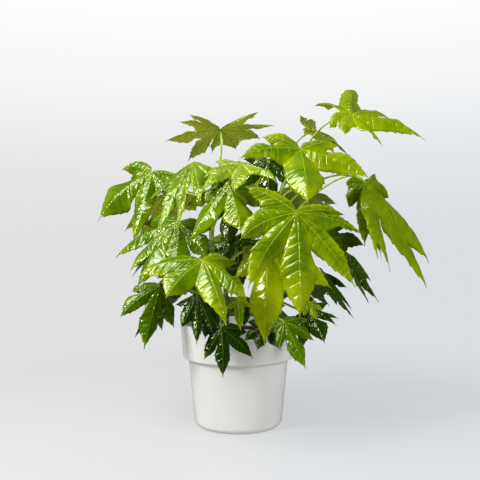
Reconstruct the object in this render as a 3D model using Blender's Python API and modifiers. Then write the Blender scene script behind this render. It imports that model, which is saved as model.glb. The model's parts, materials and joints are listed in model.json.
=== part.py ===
"""A potted Fatsia japonica: young stems in a round white pot with a collar, and the large hand-shaped
leaves that hang around them, each with its own leaf stalk. Metres, +Z up, the pot's base at z = 0."""

import math
import random

import bmesh
import bpy
from mathutils import Matrix, Vector

# Pot: a turned shell whose collar steps in to a tapering body
RIM_RADIUS = 0.1055
COLLAR_FOOT_RADIUS = 0.101
BODY_RADIUS = 0.0905
FOOT_RADIUS = 0.080
POT_HEIGHT = 0.184
COLLAR_FOOT_HEIGHT = 0.126
BODY_TOP_HEIGHT = 0.118
WALL = 0.005
FLOOR = 0.007
FOOT_ROUNDING = 0.011
TURNING_STEPS = 32

# Soil and stems
SOIL_LEVEL = 0.165
SOIL_CROWN = 0.004
STEM_DEPTH = 0.040
STEM_RADIUS = 0.0045
BUD_LENGTH = 0.012
CLEARANCE = 0.0003
WELD = 0.00001
HOLE_SIDES = 12

# Leaf stalks
STALK_RADIUS = 0.0016
STALK_SWELLING = 1.4
STALK_POINTS = 5
STALK_RISE = (0.6, 0.8)
STALK_BOW = 0.38

# Blades
BLADE_THICKNESS = 0.0008
TOOTH = 0.024
TOOTH_LEAN = 0.35
RIB_STEPS = 20
FOLD = -0.30
WAVE = 0.04
WAVE_RATE = 6.0
WAVE_START = 0.3
SWAY = 0.15
TWIST = 0.35
OUTER_ANGLE = 115.0
FIRST_LIFT = 1 / 3
ARCH_ALLOWANCE = 0.03
VEIN_RAKE = 0.5
WIDEST_PLACE = 0.34
TIP_TAPER = (1.7, 1.3)
TIP_START = 0.90
DRAWN_TIP = 0.08
BLEND_REACH = 0.4
NOTCH_BASE = 0.7
OUTER_FLANK = (0.20, math.radians(38))
SPREAD_IN_ANGLE = 3.0
SPREAD_IN_LENGTH = 0.06
SPREAD_IN_DROOP = 0.2
PLANT_CENTRE = Vector((0.0, 0.0, 0.20))
DOWN = Vector((0.0, 0.0, -1.0))
FULL_TURN = 2 * math.pi

# Lobes on one side of a leaf, by the number of lobes in all: turn from the middle lobe in degrees, and
# length as a share of the middle lobe's. The widest half width is a share of each lobe's own length.
PALMS = {
    5: ((0, 1.0), (46, 0.84), (98, 0.58)),
    7: ((0, 1.0), (37, 0.86), (74, 0.66), (114, 0.48)),
    9: ((0, 1.0), (31, 0.92), (62, 0.80), (94, 0.62), (128, 0.44)),
}
HALF_WIDTH = {5: 0.200, 7: 0.170, 9: 0.160}

# Places along a lobe's edge, from its notch at 0 to its tip at 1, with True where a tooth stands
EDGE_PLACES = {
    "coarse": ((0.40, False),),
    "plain": ((0.24, False), (0.50, True), (0.55, False), (0.80, False)),
    "fine": ((0.18, False), (0.40, True), (0.44, False), (0.62, True), (0.66, False), (0.84, False)),
}
RIB_PLACES = {"coarse": (0.40,), "plain": (0.45,), "fine": (0.25, 0.60)}

# Each stem: its middle where it leaves the soil, and its top
STEMS = (
    (Vector((-0.040, -0.034, SOIL_LEVEL)), Vector((-0.050, -0.045, 0.40))),
    (Vector((0.036, -0.036, SOIL_LEVEL)), Vector((0.050, -0.050, 0.40))),
    (Vector((-0.022, 0.040, SOIL_LEVEL)), Vector((-0.030, 0.030, 0.44))),
    (Vector((0.046, 0.030, SOIL_LEVEL)), Vector((0.062, 0.030, 0.42))),
)

COLOURS = {
    "young": (0.300, 0.430, 0.012, 1.0),
    "grown": (0.105, 0.270, 0.015, 1.0),
    "shiny": (0.170, 0.330, 0.080, 1.0),
    "old": (0.018, 0.080, 0.008, 1.0),
    "stem": (0.130, 0.230, 0.035, 1.0),
    "soil": (0.035, 0.022, 0.014, 1.0),
    "pot": (0.800, 0.800, 0.790, 1.0),
}


def leaf(mark, age, stem, joint, hub, tip, wing, **shape):
    """One row of the leaf list. The mark seeds the leaf's small irregularities. The stalk leaves its stem at
    the height joint and carries the blade at hub, the middle lobe ends near tip, and wing is a point beside
    the hub, on the blade's level. change turns a lobe, counted from the middle one, by some degrees, and
    multiplies its length, its droop and its width. fold multiplies how far the halves of the lobes hang."""
    row = {"lobes": 7, "droop": 0.6, "cone": (0, 40), "detail": "plain", "notch": 0.38, "width": None,
           "arrive": (0.7, 0.7), "stalk": STALK_RADIUS, "change": {}, "fold": 1.0}
    row.update(shape)
    row.update(mark=mark, age=age, stem=stem, joint=joint)
    row.update(hub=Vector(hub), tip=Vector(tip), wing=Vector(wing))
    return row


LEAVES = (
    # The great light leaf at the front right, the one below it, and the young leaf at the front left
    leaf("F", "young", 1, 0.30, (0.092, -0.170, 0.376), (0.093, -0.213, 0.212), (0.198, -0.150, 0.340),
         droop=0.5, cone=(3, 9), detail="fine", change={-3: (-6, 1.16, 0.99, 0.91),
         -2: (11, 0.95, 1.01, 0.96), -1: (4, 1.03, 1, 0.75), 0: (0, 0.99, 1, 0.99), 1: (1, 0.99, 1, 0.62),
         2: (7, 1.02, 1, 0.39), 3: (-16, 1.05, 1, 0.56)}),
    leaf("G", "young", 0, 0.27, (0.049, -0.120, 0.317), (0.041, -0.160, 0.164), (0.120, -0.129, 0.302),
         lobes=5, droop=0.3, cone=(-3, 30), width=0.19, change={-2: (0, 0.5, 1, 0.8),
         -1: (0, 0.55, 1, 0.77), 0: (0, 1, 1, 0.9), 1: (16, 0.93, 1, 0.68), 2: (0, 0.8, 1, 0.79)}),
    leaf("H", "young", 0, 0.245, (-0.054, -0.190, 0.302), (-0.016, -0.257, 0.208), (-0.159, -0.221, 0.311),
         lobes=5, droop=0.7, cone=(6, 25), detail="fine", notch=0.42, width=0.20,
         change={-2: (4, 1.57, 0.96, 0.97), -1: (-6, 0.86, 1, 1.14), 0: (0, 0.99, 1, 0.73),
         1: (-11, 0.91, 1.01, 0.91), 2: (-1, 0.99, 1, 0.94)}),
    # The middle of the front, and the shiny pair behind it
    leaf("K", "grown", 0, 0.35, (-0.015, -0.140, 0.419), (-0.075, -0.168, 0.328), (0.002, -0.183, 0.342),
         lobes=5, droop=0.6, cone=(-2, 34), change={-2: (0, 1.05, 1, 1.02), -1: (7, 0.8, 1.02, 0.93),
         0: (-1, 0.99, 1, 0.85), 1: (3, 0.84, 1, 1.45), 2: (0, 1.1, 1, 1.01)}),
    leaf("L", "shiny", 0, 0.365, (0.003, -0.105, 0.462), (-0.058, -0.156, 0.409), (0.063, -0.152, 0.436),
         droop=0.7, cone=(-16, 31), change={-3: (0, 0.6, 1, 0.66), -2: (-11, 0.9, 1, 0.67),
         -1: (14, 0.82, 1.03, 0.74), 0: (-2, 0.99, 1, 0.65), 1: (-1, 0.94, 1, 1.03),
         2: (13, 1.23, 0.98, 0.6), 3: (0, 0.7, 1, 0.5)}),
    leaf("J", "shiny", 2, 0.41, (-0.079, -0.080, 0.468), (-0.096, -0.175, 0.350), (-0.141, -0.109, 0.405),
         droop=0.6, cone=(6, 55), fold=0.7, change={-3: (0, 0.6, 1, 0.88), -2: (3, 1.08, 0.6, 0.7),
         -1: (24, 1.28, 1.01, 0.37), 0: (0, 0.99, 1, 0.38), 1: (-21, 0.75, 1, 0.58),
         2: (0, 0.6, 1, 0.8), 3: (0, 0.6, 1, 0.8)}),
    # The crown: the broad light leaf, the left one seen from its edge, and the far right ones
    leaf("D", "young", 1, 0.38, (0.108, -0.060, 0.494), (0.112, -0.151, 0.389), (0.229, -0.072, 0.446),
         lobes=5, droop=0.7, cone=(-18, 10), detail="fine", change={-2: (-8, 0.86, 1.02, 0.9),
         -1: (-21, 1.03, 0.99, 0.69), 0: (0, 0.98, 1, 1.16), 1: (17, 1.14, 0.98, 0.69),
         2: (7, 1.04, 1, 0.77)}),
    leaf("A", "grown", 0, 0.40, (-0.034, 0.000, 0.539), (-0.054, 0.116, 0.514), (-0.164, 0.001, 0.528),
         lobes=9, droop=0.35, cone=(0, -6), change={-4: (0, 1.6, 1, 1), -3: (3, 1.47, 0.99, 1.01),
         -2: (0, 1, 1, 1.06), -1: (8, 1.04, 1, 0.86), 0: (0, 1, 1, 0.44), 1: (-15, 1.49, 1.01, 0.51),
         2: (-3, 1.17, 1, 0.93), 3: (13, 1.02, 0.99, 0.73), 4: (0, 1.5, 1, 0.66)}),
    leaf("B", "grown", 3, 0.41, (0.208, 0.000, 0.568), (0.345, 0.002, 0.520), (0.180, -0.090, 0.505),
         droop=0.9, cone=(-15, 20), detail="fine", change={-3: (-2, 0.97, 1, 0.88),
         -2: (-17, 0.82, 1, 0.75), -1: (-12, 0.78, 1.02, 0.74), 0: (1, 1, 1, 0.55),
         1: (-4, 0.73, 1.03, 0.62), 2: (15, 1.5, 1, 0.63), 3: (22, 1.44, 0.94, 0.81)}),
    leaf("C", "grown", 3, 0.395, (0.145, 0.090, 0.554), (0.218, 0.087, 0.504), (0.115, 0.029, 0.575),
         droop=0.8, cone=(15, -8), change={-3: (-16, 1.14, 0.96, 1.14), -2: (-21, 1.36, 0.97, 0.65),
         0: (-5, 1.01, 0.98, 1.02), 2: (23, 1.25, 0.98, 0.38), 3: (0, 1, 1, 0.46)}),
    # The right side, where two stalks reach out and the large leaf hangs down
    leaf("E1", "grown", 3, 0.34, (0.239, 0.035, 0.448), (0.238, 0.025, 0.323), (0.171, 0.012, 0.446),
         lobes=5, droop=0.5, cone=(3, 12), change={-2: (14, 0.55, 1, 0.9), -1: (14, 0.62, 1, 1),
         0: (0, 0.99, 1, 0.65), 1: (-35, 1.4, 1, 0.5), 2: (-18, 0.5, 1, 0.8)}),
    leaf("E2", "grown", 1, 0.36, (0.236, -0.018, 0.436), (0.346, 0.003, 0.244), (0.300, 0.050, 0.472),
         droop=0.58, cone=(-20, -6), notch=0.28, change={-3: (20, 0.3, 1, 0.7), -2: (32, 0.95, 0.93, 0.6),
         -1: (6, 0.82, 0.98, 0.75), 0: (2, 1, 1, 0.85), 1: (-20, 0.98, 1.01, 0.75), 2: (-35, 0.4, 1, 0.7),
         3: (0, 0.25, 1, 0.7)}),
    leaf("T", "old", 3, 0.28, (0.155, -0.060, 0.336), (0.234, -0.108, 0.229), (0.213, -0.032, 0.305),
         droop=0.6, cone=(-33, 10), change={-3: (0, 0.7, 1, 1), -2: (0, 0.7, 1, 1),
         -1: (19, 1.21, 0.97, 0.45), 0: (1, 0.99, 1, 0.43), 1: (-16, 0.82, 1.03, 0.84),
         2: (3, 1.15, 0.99, 0.77), 3: (-13, 1.28, 0.99, 0.72)}),
    leaf("S", "old", 1, 0.25, (0.143, -0.094, 0.279), (0.190, -0.103, 0.216), (0.185, -0.077, 0.244),
         lobes=5, droop=0.5, cone=(-8, 32), notch=0.42, change={-2: (0, 0.7, 1, 1), -1: (15, 0.83, 0.99, 0.8),
         0: (1, 1, 1, 0.79), 1: (5, 1.05, 0.99, 0.73), 2: (0, 0.7, 1, 1)}),
    # The left side
    leaf("I", "grown", 2, 0.40, (-0.158, -0.016, 0.457), (-0.183, -0.067, 0.329), (-0.255, -0.006, 0.449),
         lobes=5, droop=0.7, cone=(-2, 28), detail="fine", width=0.18, change={-2: (-3, 1.05, 1, 0.88),
         -1: (10, 1.14, 1, 1.28), 0: (0, 0.98, 1, 0.71),
         1: (0, 0.5, 1, 0.7), 2: (0, 0.6, 1, 0.8)}),
    leaf("V", "grown", 0, 0.30, (-0.100, -0.106, 0.364), (-0.159, -0.165, 0.255), (-0.055, -0.164, 0.313),
         droop=0.6, cone=(2, 32), change={-3: (20, 1.61, 0.97, 0.7), -2: (30, 1.37, 1.01, 0.85),
         -1: (21, 1.02, 1.02, 0.8), 0: (-1, 0.99, 1, 1.1), 1: (-12, 1.0, 1, 1.0),
         2: (-15, 0.97, 1.01, 1.12), 3: (1, 0.87, 1.01, 1.33)}),
    leaf("M", "grown", 0, 0.22, (-0.133, -0.090, 0.256), (-0.156, -0.115, 0.152), (-0.190, -0.134, 0.207),
         droop=0.5, cone=(21, 46), change={-3: (0, 0.6, 1, 0.88), -2: (-1, 0.66, 1.02, 0.9),
         -1: (-5, 0.95, 1, 0.86), 0: (0, 0.99, 1, 0.85), 1: (-13, 0.85, 1, 0.85),
         2: (-25, 1.17, 1.01, 0.92), 3: (0, 0.6, 1, 1)}),
    # The low leaves that hang before the pot, and the two smallest
    leaf("N", "old", 0, 0.20, (-0.066, -0.140, 0.243), (-0.065, -0.167, 0.168), (-0.103, -0.157, 0.202),
         lobes=5, droop=0.5, cone=(28, 42), change={-2: (0, 0.99, 1, 1.21), -1: (18, 0.86, 1.01, 0.86),
         0: (0, 0.99, 1, 0.53), 1: (-21, 0.95, 1.01, 0.83), 2: (2, 0.88, 1, 1.42)}),
    leaf("O", "old", 0, 0.225, (-0.027, -0.150, 0.192), (-0.024, -0.155, 0.115), (0.025, -0.153, 0.143),
         lobes=5, droop=0.4, cone=(15, 43), arrive=(0.8, 0.6), change={-2: (-2, 0.91, 1, 1.46),
         -1: (12, 0.84, 1, 0.79), 0: (0, 1, 1, 0.77), 1: (1, 1.09, 1, 0.78), 2: (-13, 1.16, 1, 0.99)}),
    leaf("P", "old", 1, 0.20, (0.045, -0.126, 0.196), (0.030, -0.160, 0.157), (0.071, -0.133, 0.189),
         lobes=5, droop=0.3, cone=(-6, 31), change={-2: (4, 1.1, 1, 1.0), -1: (12, 1.07, 1, 0.79),
         0: (0, 0.99, 1, 0.95), 1: (-5, 1.25, 1, 1.04), 2: (0, 1.22, 1, 1.27)}),
    leaf("Q", "grown", 1, 0.222, (0.073, -0.160, 0.204), (0.105, -0.180, 0.133), (0.129, -0.145, 0.177),
         lobes=5, droop=0.4, cone=(12, 28), width=0.20, change={-2: (13, 0.66, 1.01, 1.14),
         -1: (9, 0.76, 1, 0.72), 0: (0, 1, 1, 0.89), 1: (-3, 0.89, 1.01, 0.77),
         2: (-13, 1.36, 0.99, 0.63)}),
    leaf("R", "old", 1, 0.22, (0.114, -0.100, 0.216), (0.162, -0.122, 0.192), (0.127, -0.136, 0.165),
         droop=0.6, cone=(21, 18), change={-3: (3, 1.54, 0.99, 1.12), -2: (2, 1.66, 1, 0.97),
         -1: (2, 1.4, 0.99, 1.37), 0: (1, 1, 1, 0.45), 1: (-20, 1.09, 1.01, 0.54),
         2: (-17, 1.15, 1, 1.15), 3: (-4, 1.52, 0.98, 0.96)}),
    leaf("star", "young", 1, 0.235, (0.117, -0.140, 0.231), (0.125, -0.150, 0.205), (0.140, -0.140, 0.225),
         lobes=5, droop=0.3, detail="coarse", stalk=0.0009),
    leaf("Y1", "young", 0, 0.200, (0.000, -0.168, 0.240), (0.004, -0.170, 0.190), (0.020, -0.168, 0.236),
         lobes=5, droop=0.2, detail="coarse", stalk=0.0009, width=0.14,
         change={-2: (0, 0.6, 1, 1), -1: (-8, 0.6, 1, 1), 1: (8, 0.6, 1, 1), 2: (0, 0.6, 1, 1)}),
    # Three in the shade, two of them behind the low leaves and one among the stems
    leaf("X2", "old", 0, 0.185, (-0.047, -0.114, 0.222), (-0.054, -0.132, 0.172), (-0.007, -0.112, 0.212),
         lobes=5, droop=0.4, width=0.20,
         change={-2: (0, 0.55, 1, 1), -1: (0, 0.85, 1, 1), 1: (0, 0.85, 1, 1), 2: (0, 0.55, 1, 1)}),
    leaf("X3", "old", 1, 0.185, (0.010, -0.094, 0.234), (0.010, -0.109, 0.188), (0.051, -0.092, 0.224),
         lobes=5, droop=0.4, width=0.20, detail="coarse",
         change={-2: (0, 0.7, 1, 1), -1: (0, 0.8, 1, 1), 2: (0, 0.7, 1, 1)}),
    leaf("W", "old", 0, 0.24, (-0.002, -0.012, 0.335), (0.000, -0.038, 0.235), (0.060, -0.015, 0.320),
         droop=0.5),
    # The back and its two sides
    leaf("bk1", "grown", 2, 0.38, (-0.140, 0.090, 0.430), (-0.213, 0.141, 0.322), (-0.190, 0.016, 0.430)),
    leaf("bk2", "grown", 2, 0.42, (-0.005, 0.130, 0.480), (-0.014, 0.235, 0.385), (-0.095, 0.130, 0.480),
         droop=0.7),
    leaf("bk3", "young", 3, 0.375, (0.130, 0.140, 0.440), (0.190, 0.210, 0.335), (0.200, 0.080, 0.445)),
    leaf("bk4", "old", 2, 0.26, (-0.110, 0.120, 0.290), (-0.158, 0.177, 0.184), (-0.180, 0.060, 0.290),
         droop=0.5),
    leaf("bk5", "grown", 2, 0.31, (-0.010, 0.170, 0.340), (-0.016, 0.245, 0.210), (-0.100, 0.170, 0.340),
         droop=0.5),
    leaf("bk6", "old", 3, 0.25, (0.110, 0.130, 0.280), (0.163, 0.183, 0.174), (0.170, 0.070, 0.280),
         droop=0.5),
    leaf("bk7", "old", 2, 0.20, (-0.050, 0.150, 0.215), (-0.060, 0.187, 0.133), (-0.110, 0.135, 0.215),
         lobes=5, droop=0.3, detail="coarse"),
    leaf("bk8", "old", 3, 0.20, (0.060, 0.150, 0.210), (0.073, 0.186, 0.129), (0.120, 0.130, 0.210),
         lobes=5, droop=0.3, detail="coarse"),
    leaf("bk9", "old", 3, 0.22, (0.170, 0.030, 0.250), (0.218, 0.036, 0.188), (0.165, 0.100, 0.250),
         droop=0.5),
    leaf("bk10", "old", 2, 0.30, (-0.140, 0.040, 0.345), (-0.205, 0.050, 0.265), (-0.150, -0.040, 0.345),
         droop=0.5),
    leaf("bk11", "old", 2, 0.20, (-0.150, 0.040, 0.235), (-0.199, 0.049, 0.149), (-0.160, -0.020, 0.235),
         lobes=5, droop=0.5, detail="coarse"),
    # Two more in the shade, behind the crown and among the stems
    leaf("Z2", "old", 3, 0.35, (0.055, 0.002, 0.482), (0.052, -0.012, 0.398), (0.120, -0.004, 0.470),
         lobes=5, droop=0.5, cone=(0, 20), detail="coarse"),
    leaf("Z3", "old", 2, 0.36, (-0.012, 0.000, 0.408), (-0.022, -0.022, 0.322), (-0.070, -0.006, 0.388),
         lobes=5, droop=0.4, cone=(0, 0), detail="coarse",
         change={-2: (0, 0.7, 1, 1), 2: (0, 0.7, 1, 1)}),
)


def clear_scene():
    for old in list(bpy.data.objects):
        bpy.data.objects.remove(old, do_unlink=True)


def new_collection(name):
    collection = bpy.data.collections.new(name)
    bpy.context.scene.collection.children.link(collection)
    return collection


def finish(name, colour, roughness):
    """A plain principled material."""
    material = bpy.data.materials.new(name)
    material.use_nodes = True
    shader = material.node_tree.nodes["Principled BSDF"]
    shader.inputs["Base Color"].default_value = COLOURS[colour]
    shader.inputs["Roughness"].default_value = roughness
    shader.inputs["Metallic"].default_value = 0.0
    material.diffuse_color = COLOURS[colour]
    return material


def place(name, mesh, collection, material=None):
    piece = bpy.data.objects.new(name, mesh)
    collection.objects.link(piece)
    if material:
        mesh.materials.append(material)
    return piece


def settled(piece, collection):
    """Replaces an object by the mesh that its modifiers or its bevel make. Loose caps are welded on, and a
    point that stands in the middle of one edge goes, because it would leave two triangles back to back."""
    bpy.context.view_layer.update()
    mesh = bpy.data.meshes.new_from_object(piece.evaluated_get(bpy.context.evaluated_depsgraph_get()))
    welded = bmesh.new()
    welded.from_mesh(mesh)
    bmesh.ops.remove_doubles(welded, verts=welded.verts, dist=WELD)
    bmesh.ops.dissolve_verts(welded, verts=[point for point in welded.verts if len(point.link_edges) == 2])
    welded.to_mesh(mesh)
    welded.free()
    name, place_in_world = piece.name, piece.matrix_world.copy()
    bpy.data.objects.remove(piece, do_unlink=True)
    solid = bpy.data.objects.new(name, mesh)
    collection.objects.link(solid)
    solid.matrix_world = place_in_world
    return solid


def turned_piece(name, profile, collection, material):
    """Spins a profile of radius and height about the Z axis."""
    mesh = bpy.data.meshes.new(name)
    mesh.from_pydata([(r, 0.0, z) for r, z in profile], [(k, k + 1) for k in range(len(profile) - 1)], [])
    piece = place(name, mesh, collection, material)
    spin = piece.modifiers.new("Turning", "SCREW")
    spin.axis = "Z"
    spin.steps = TURNING_STEPS
    spin.render_steps = TURNING_STEPS
    spin.use_merge_vertices = True
    spin.merge_threshold = WELD
    spin.use_smooth_shade = True
    return piece


def arc(middle, radius, start, end, steps):
    """Points of a round stretch, from one angle to another in degrees, anticlockwise from +X."""
    angles = [math.radians(start + (end - start) * k / steps) for k in range(steps + 1)]
    return [(middle[0] + radius * math.cos(a), middle[1] + radius * math.sin(a)) for a in angles]


def outside_profile():
    """The pot's outer side, from under the lip down to where the base flattens."""
    lip = WALL / 2
    step = COLLAR_FOOT_RADIUS - BODY_RADIUS
    return (
        arc((RIM_RADIUS - lip, POT_HEIGHT - lip), lip, 90, 0, 3)
        + arc((COLLAR_FOOT_RADIUS - step / 3, COLLAR_FOOT_HEIGHT), step / 3, 0, -90, 2)
        + [(BODY_RADIUS, BODY_TOP_HEIGHT)]
        + arc((FOOT_RADIUS - FOOT_ROUNDING, FOOT_ROUNDING), FOOT_ROUNDING, 0, -90, 2)
    )


def inside_profile():
    """The pot's bore, from its floor up to below the lip, one wall inside the outer side."""
    return [
        (FOOT_RADIUS - FOOT_ROUNDING, FLOOR),
        (FOOT_RADIUS - WALL, FLOOR + 0.003),
        (BODY_RADIUS - WALL, BODY_TOP_HEIGHT - 0.002),
        (COLLAR_FOOT_RADIUS - WALL, COLLAR_FOOT_HEIGHT),
        (RIM_RADIUS - WALL, POT_HEIGHT - WALL / 2),
    ]


def pot(collection):
    """One shell. Its profile goes from the middle of the floor up the bore, over the lip, down the outer
    side and in to the middle of the base."""
    profile = [(0.0, FLOOR)] + inside_profile() + outside_profile() + [(0.0, 0.0)]
    return turned_piece("pot", profile, collection, finish("pot_white", "pot", 0.25))


def soil_radius(height):
    """Half the width of the collar's bore at a height, less the clearance."""
    low, high = COLLAR_FOOT_HEIGHT, POT_HEIGHT - WALL / 2
    share = (height - low) / (high - low)
    return COLLAR_FOOT_RADIUS + (RIM_RADIUS - COLLAR_FOOT_RADIUS) * share - WALL - CLEARANCE


def soil(collection, cutters):
    """The filling, one clearance inside the bore all round, with a plain hole for every stem."""
    side = [(r - CLEARANCE, z + CLEARANCE) for r, z in inside_profile()[:-1]]
    top = [(0.0, SOIL_LEVEL + SOIL_CROWN), (soil_radius(SOIL_LEVEL), SOIL_LEVEL)]
    profile = top + side[::-1] + [(0.0, FLOOR + CLEARANCE)]
    filling = turned_piece("soil", profile, collection, finish("soil_dark", "soil", 0.95))
    for number in range(len(STEMS)):
        hole = filling.modifiers.new("Hole", "BOOLEAN")
        hole.operation = "DIFFERENCE"
        hole.object = stem_hole(number, cutters)
    return filling


def stem_line(number):
    """The foot of a stem below the soil, its top, and its direction."""
    ground, top = STEMS[number]
    along = (top - ground).normalized()
    return ground - along * STEM_DEPTH, top, along


def stem_hole(number, cutters):
    """A cylinder round the buried stretch of a stem, one clearance wider than the stem."""
    foot, top, along = stem_line(number)
    start = foot - along * CLEARANCE
    length = STEM_DEPTH + SOIL_CROWN * 3
    mesh = bpy.data.meshes.new("stem_hole")
    shape = bmesh.new()
    bmesh.ops.create_cone(shape, cap_ends=True, segments=HOLE_SIDES, depth=length,
                          radius1=(STEM_RADIUS + CLEARANCE) / math.cos(math.pi / HOLE_SIDES),
                          radius2=(STEM_RADIUS + CLEARANCE) / math.cos(math.pi / HOLE_SIDES))
    shape.to_mesh(mesh)
    shape.free()
    cutter = place(f"stem_hole_{number + 1}", mesh, cutters)
    cutter.matrix_world = (Matrix.Translation(start + along * length / 2)
                           @ along.to_track_quat("Z", "Y").to_matrix().to_4x4())
    cutter.hide_render = True
    cutter.display_type = "WIRE"
    return cutter


def rod(name, points, radii, sides_setting, collection):
    """A round rod along points, with a radius at each."""
    line = bpy.data.curves.new(name, "CURVE")
    line.dimensions = "3D"
    line.bevel_depth = 1.0
    line.bevel_resolution = sides_setting
    line.use_fill_caps = True
    spline = line.splines.new("POLY")
    spline.points.add(len(points) - 1)
    for point, at, radius in zip(spline.points, points, radii):
        point.co = (*at, 1.0)
        point.radius = radius
    piece = bpy.data.objects.new(name, line)
    collection.objects.link(piece)
    return piece


def stem(number, collection, material):
    """A straight green stem that stands in the soil and ends in a pointed bud."""
    foot, top, along = stem_line(number)
    points = [foot, top, top + along * BUD_LENGTH * 0.45, top + along * BUD_LENGTH]
    radii = [STEM_RADIUS, STEM_RADIUS, STEM_RADIUS * 0.8, STEM_RADIUS * 0.25]
    piece = settled(rod(f"stem_{number + 1}", points, radii, 4, collection), collection)
    piece.data.materials.append(material)
    piece.data.shade_smooth()
    return piece


def smooth(x):
    """Rises from 0 to 1 with level ends."""
    x = min(1.0, max(0.0, x))
    return x * x * (3 - 2 * x)


def swing(frame, axis, angle):
    """Turns every vector of a frame about an axis."""
    turn = Matrix.Rotation(angle, 3, axis)
    return [turn @ vector for vector in frame]


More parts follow.
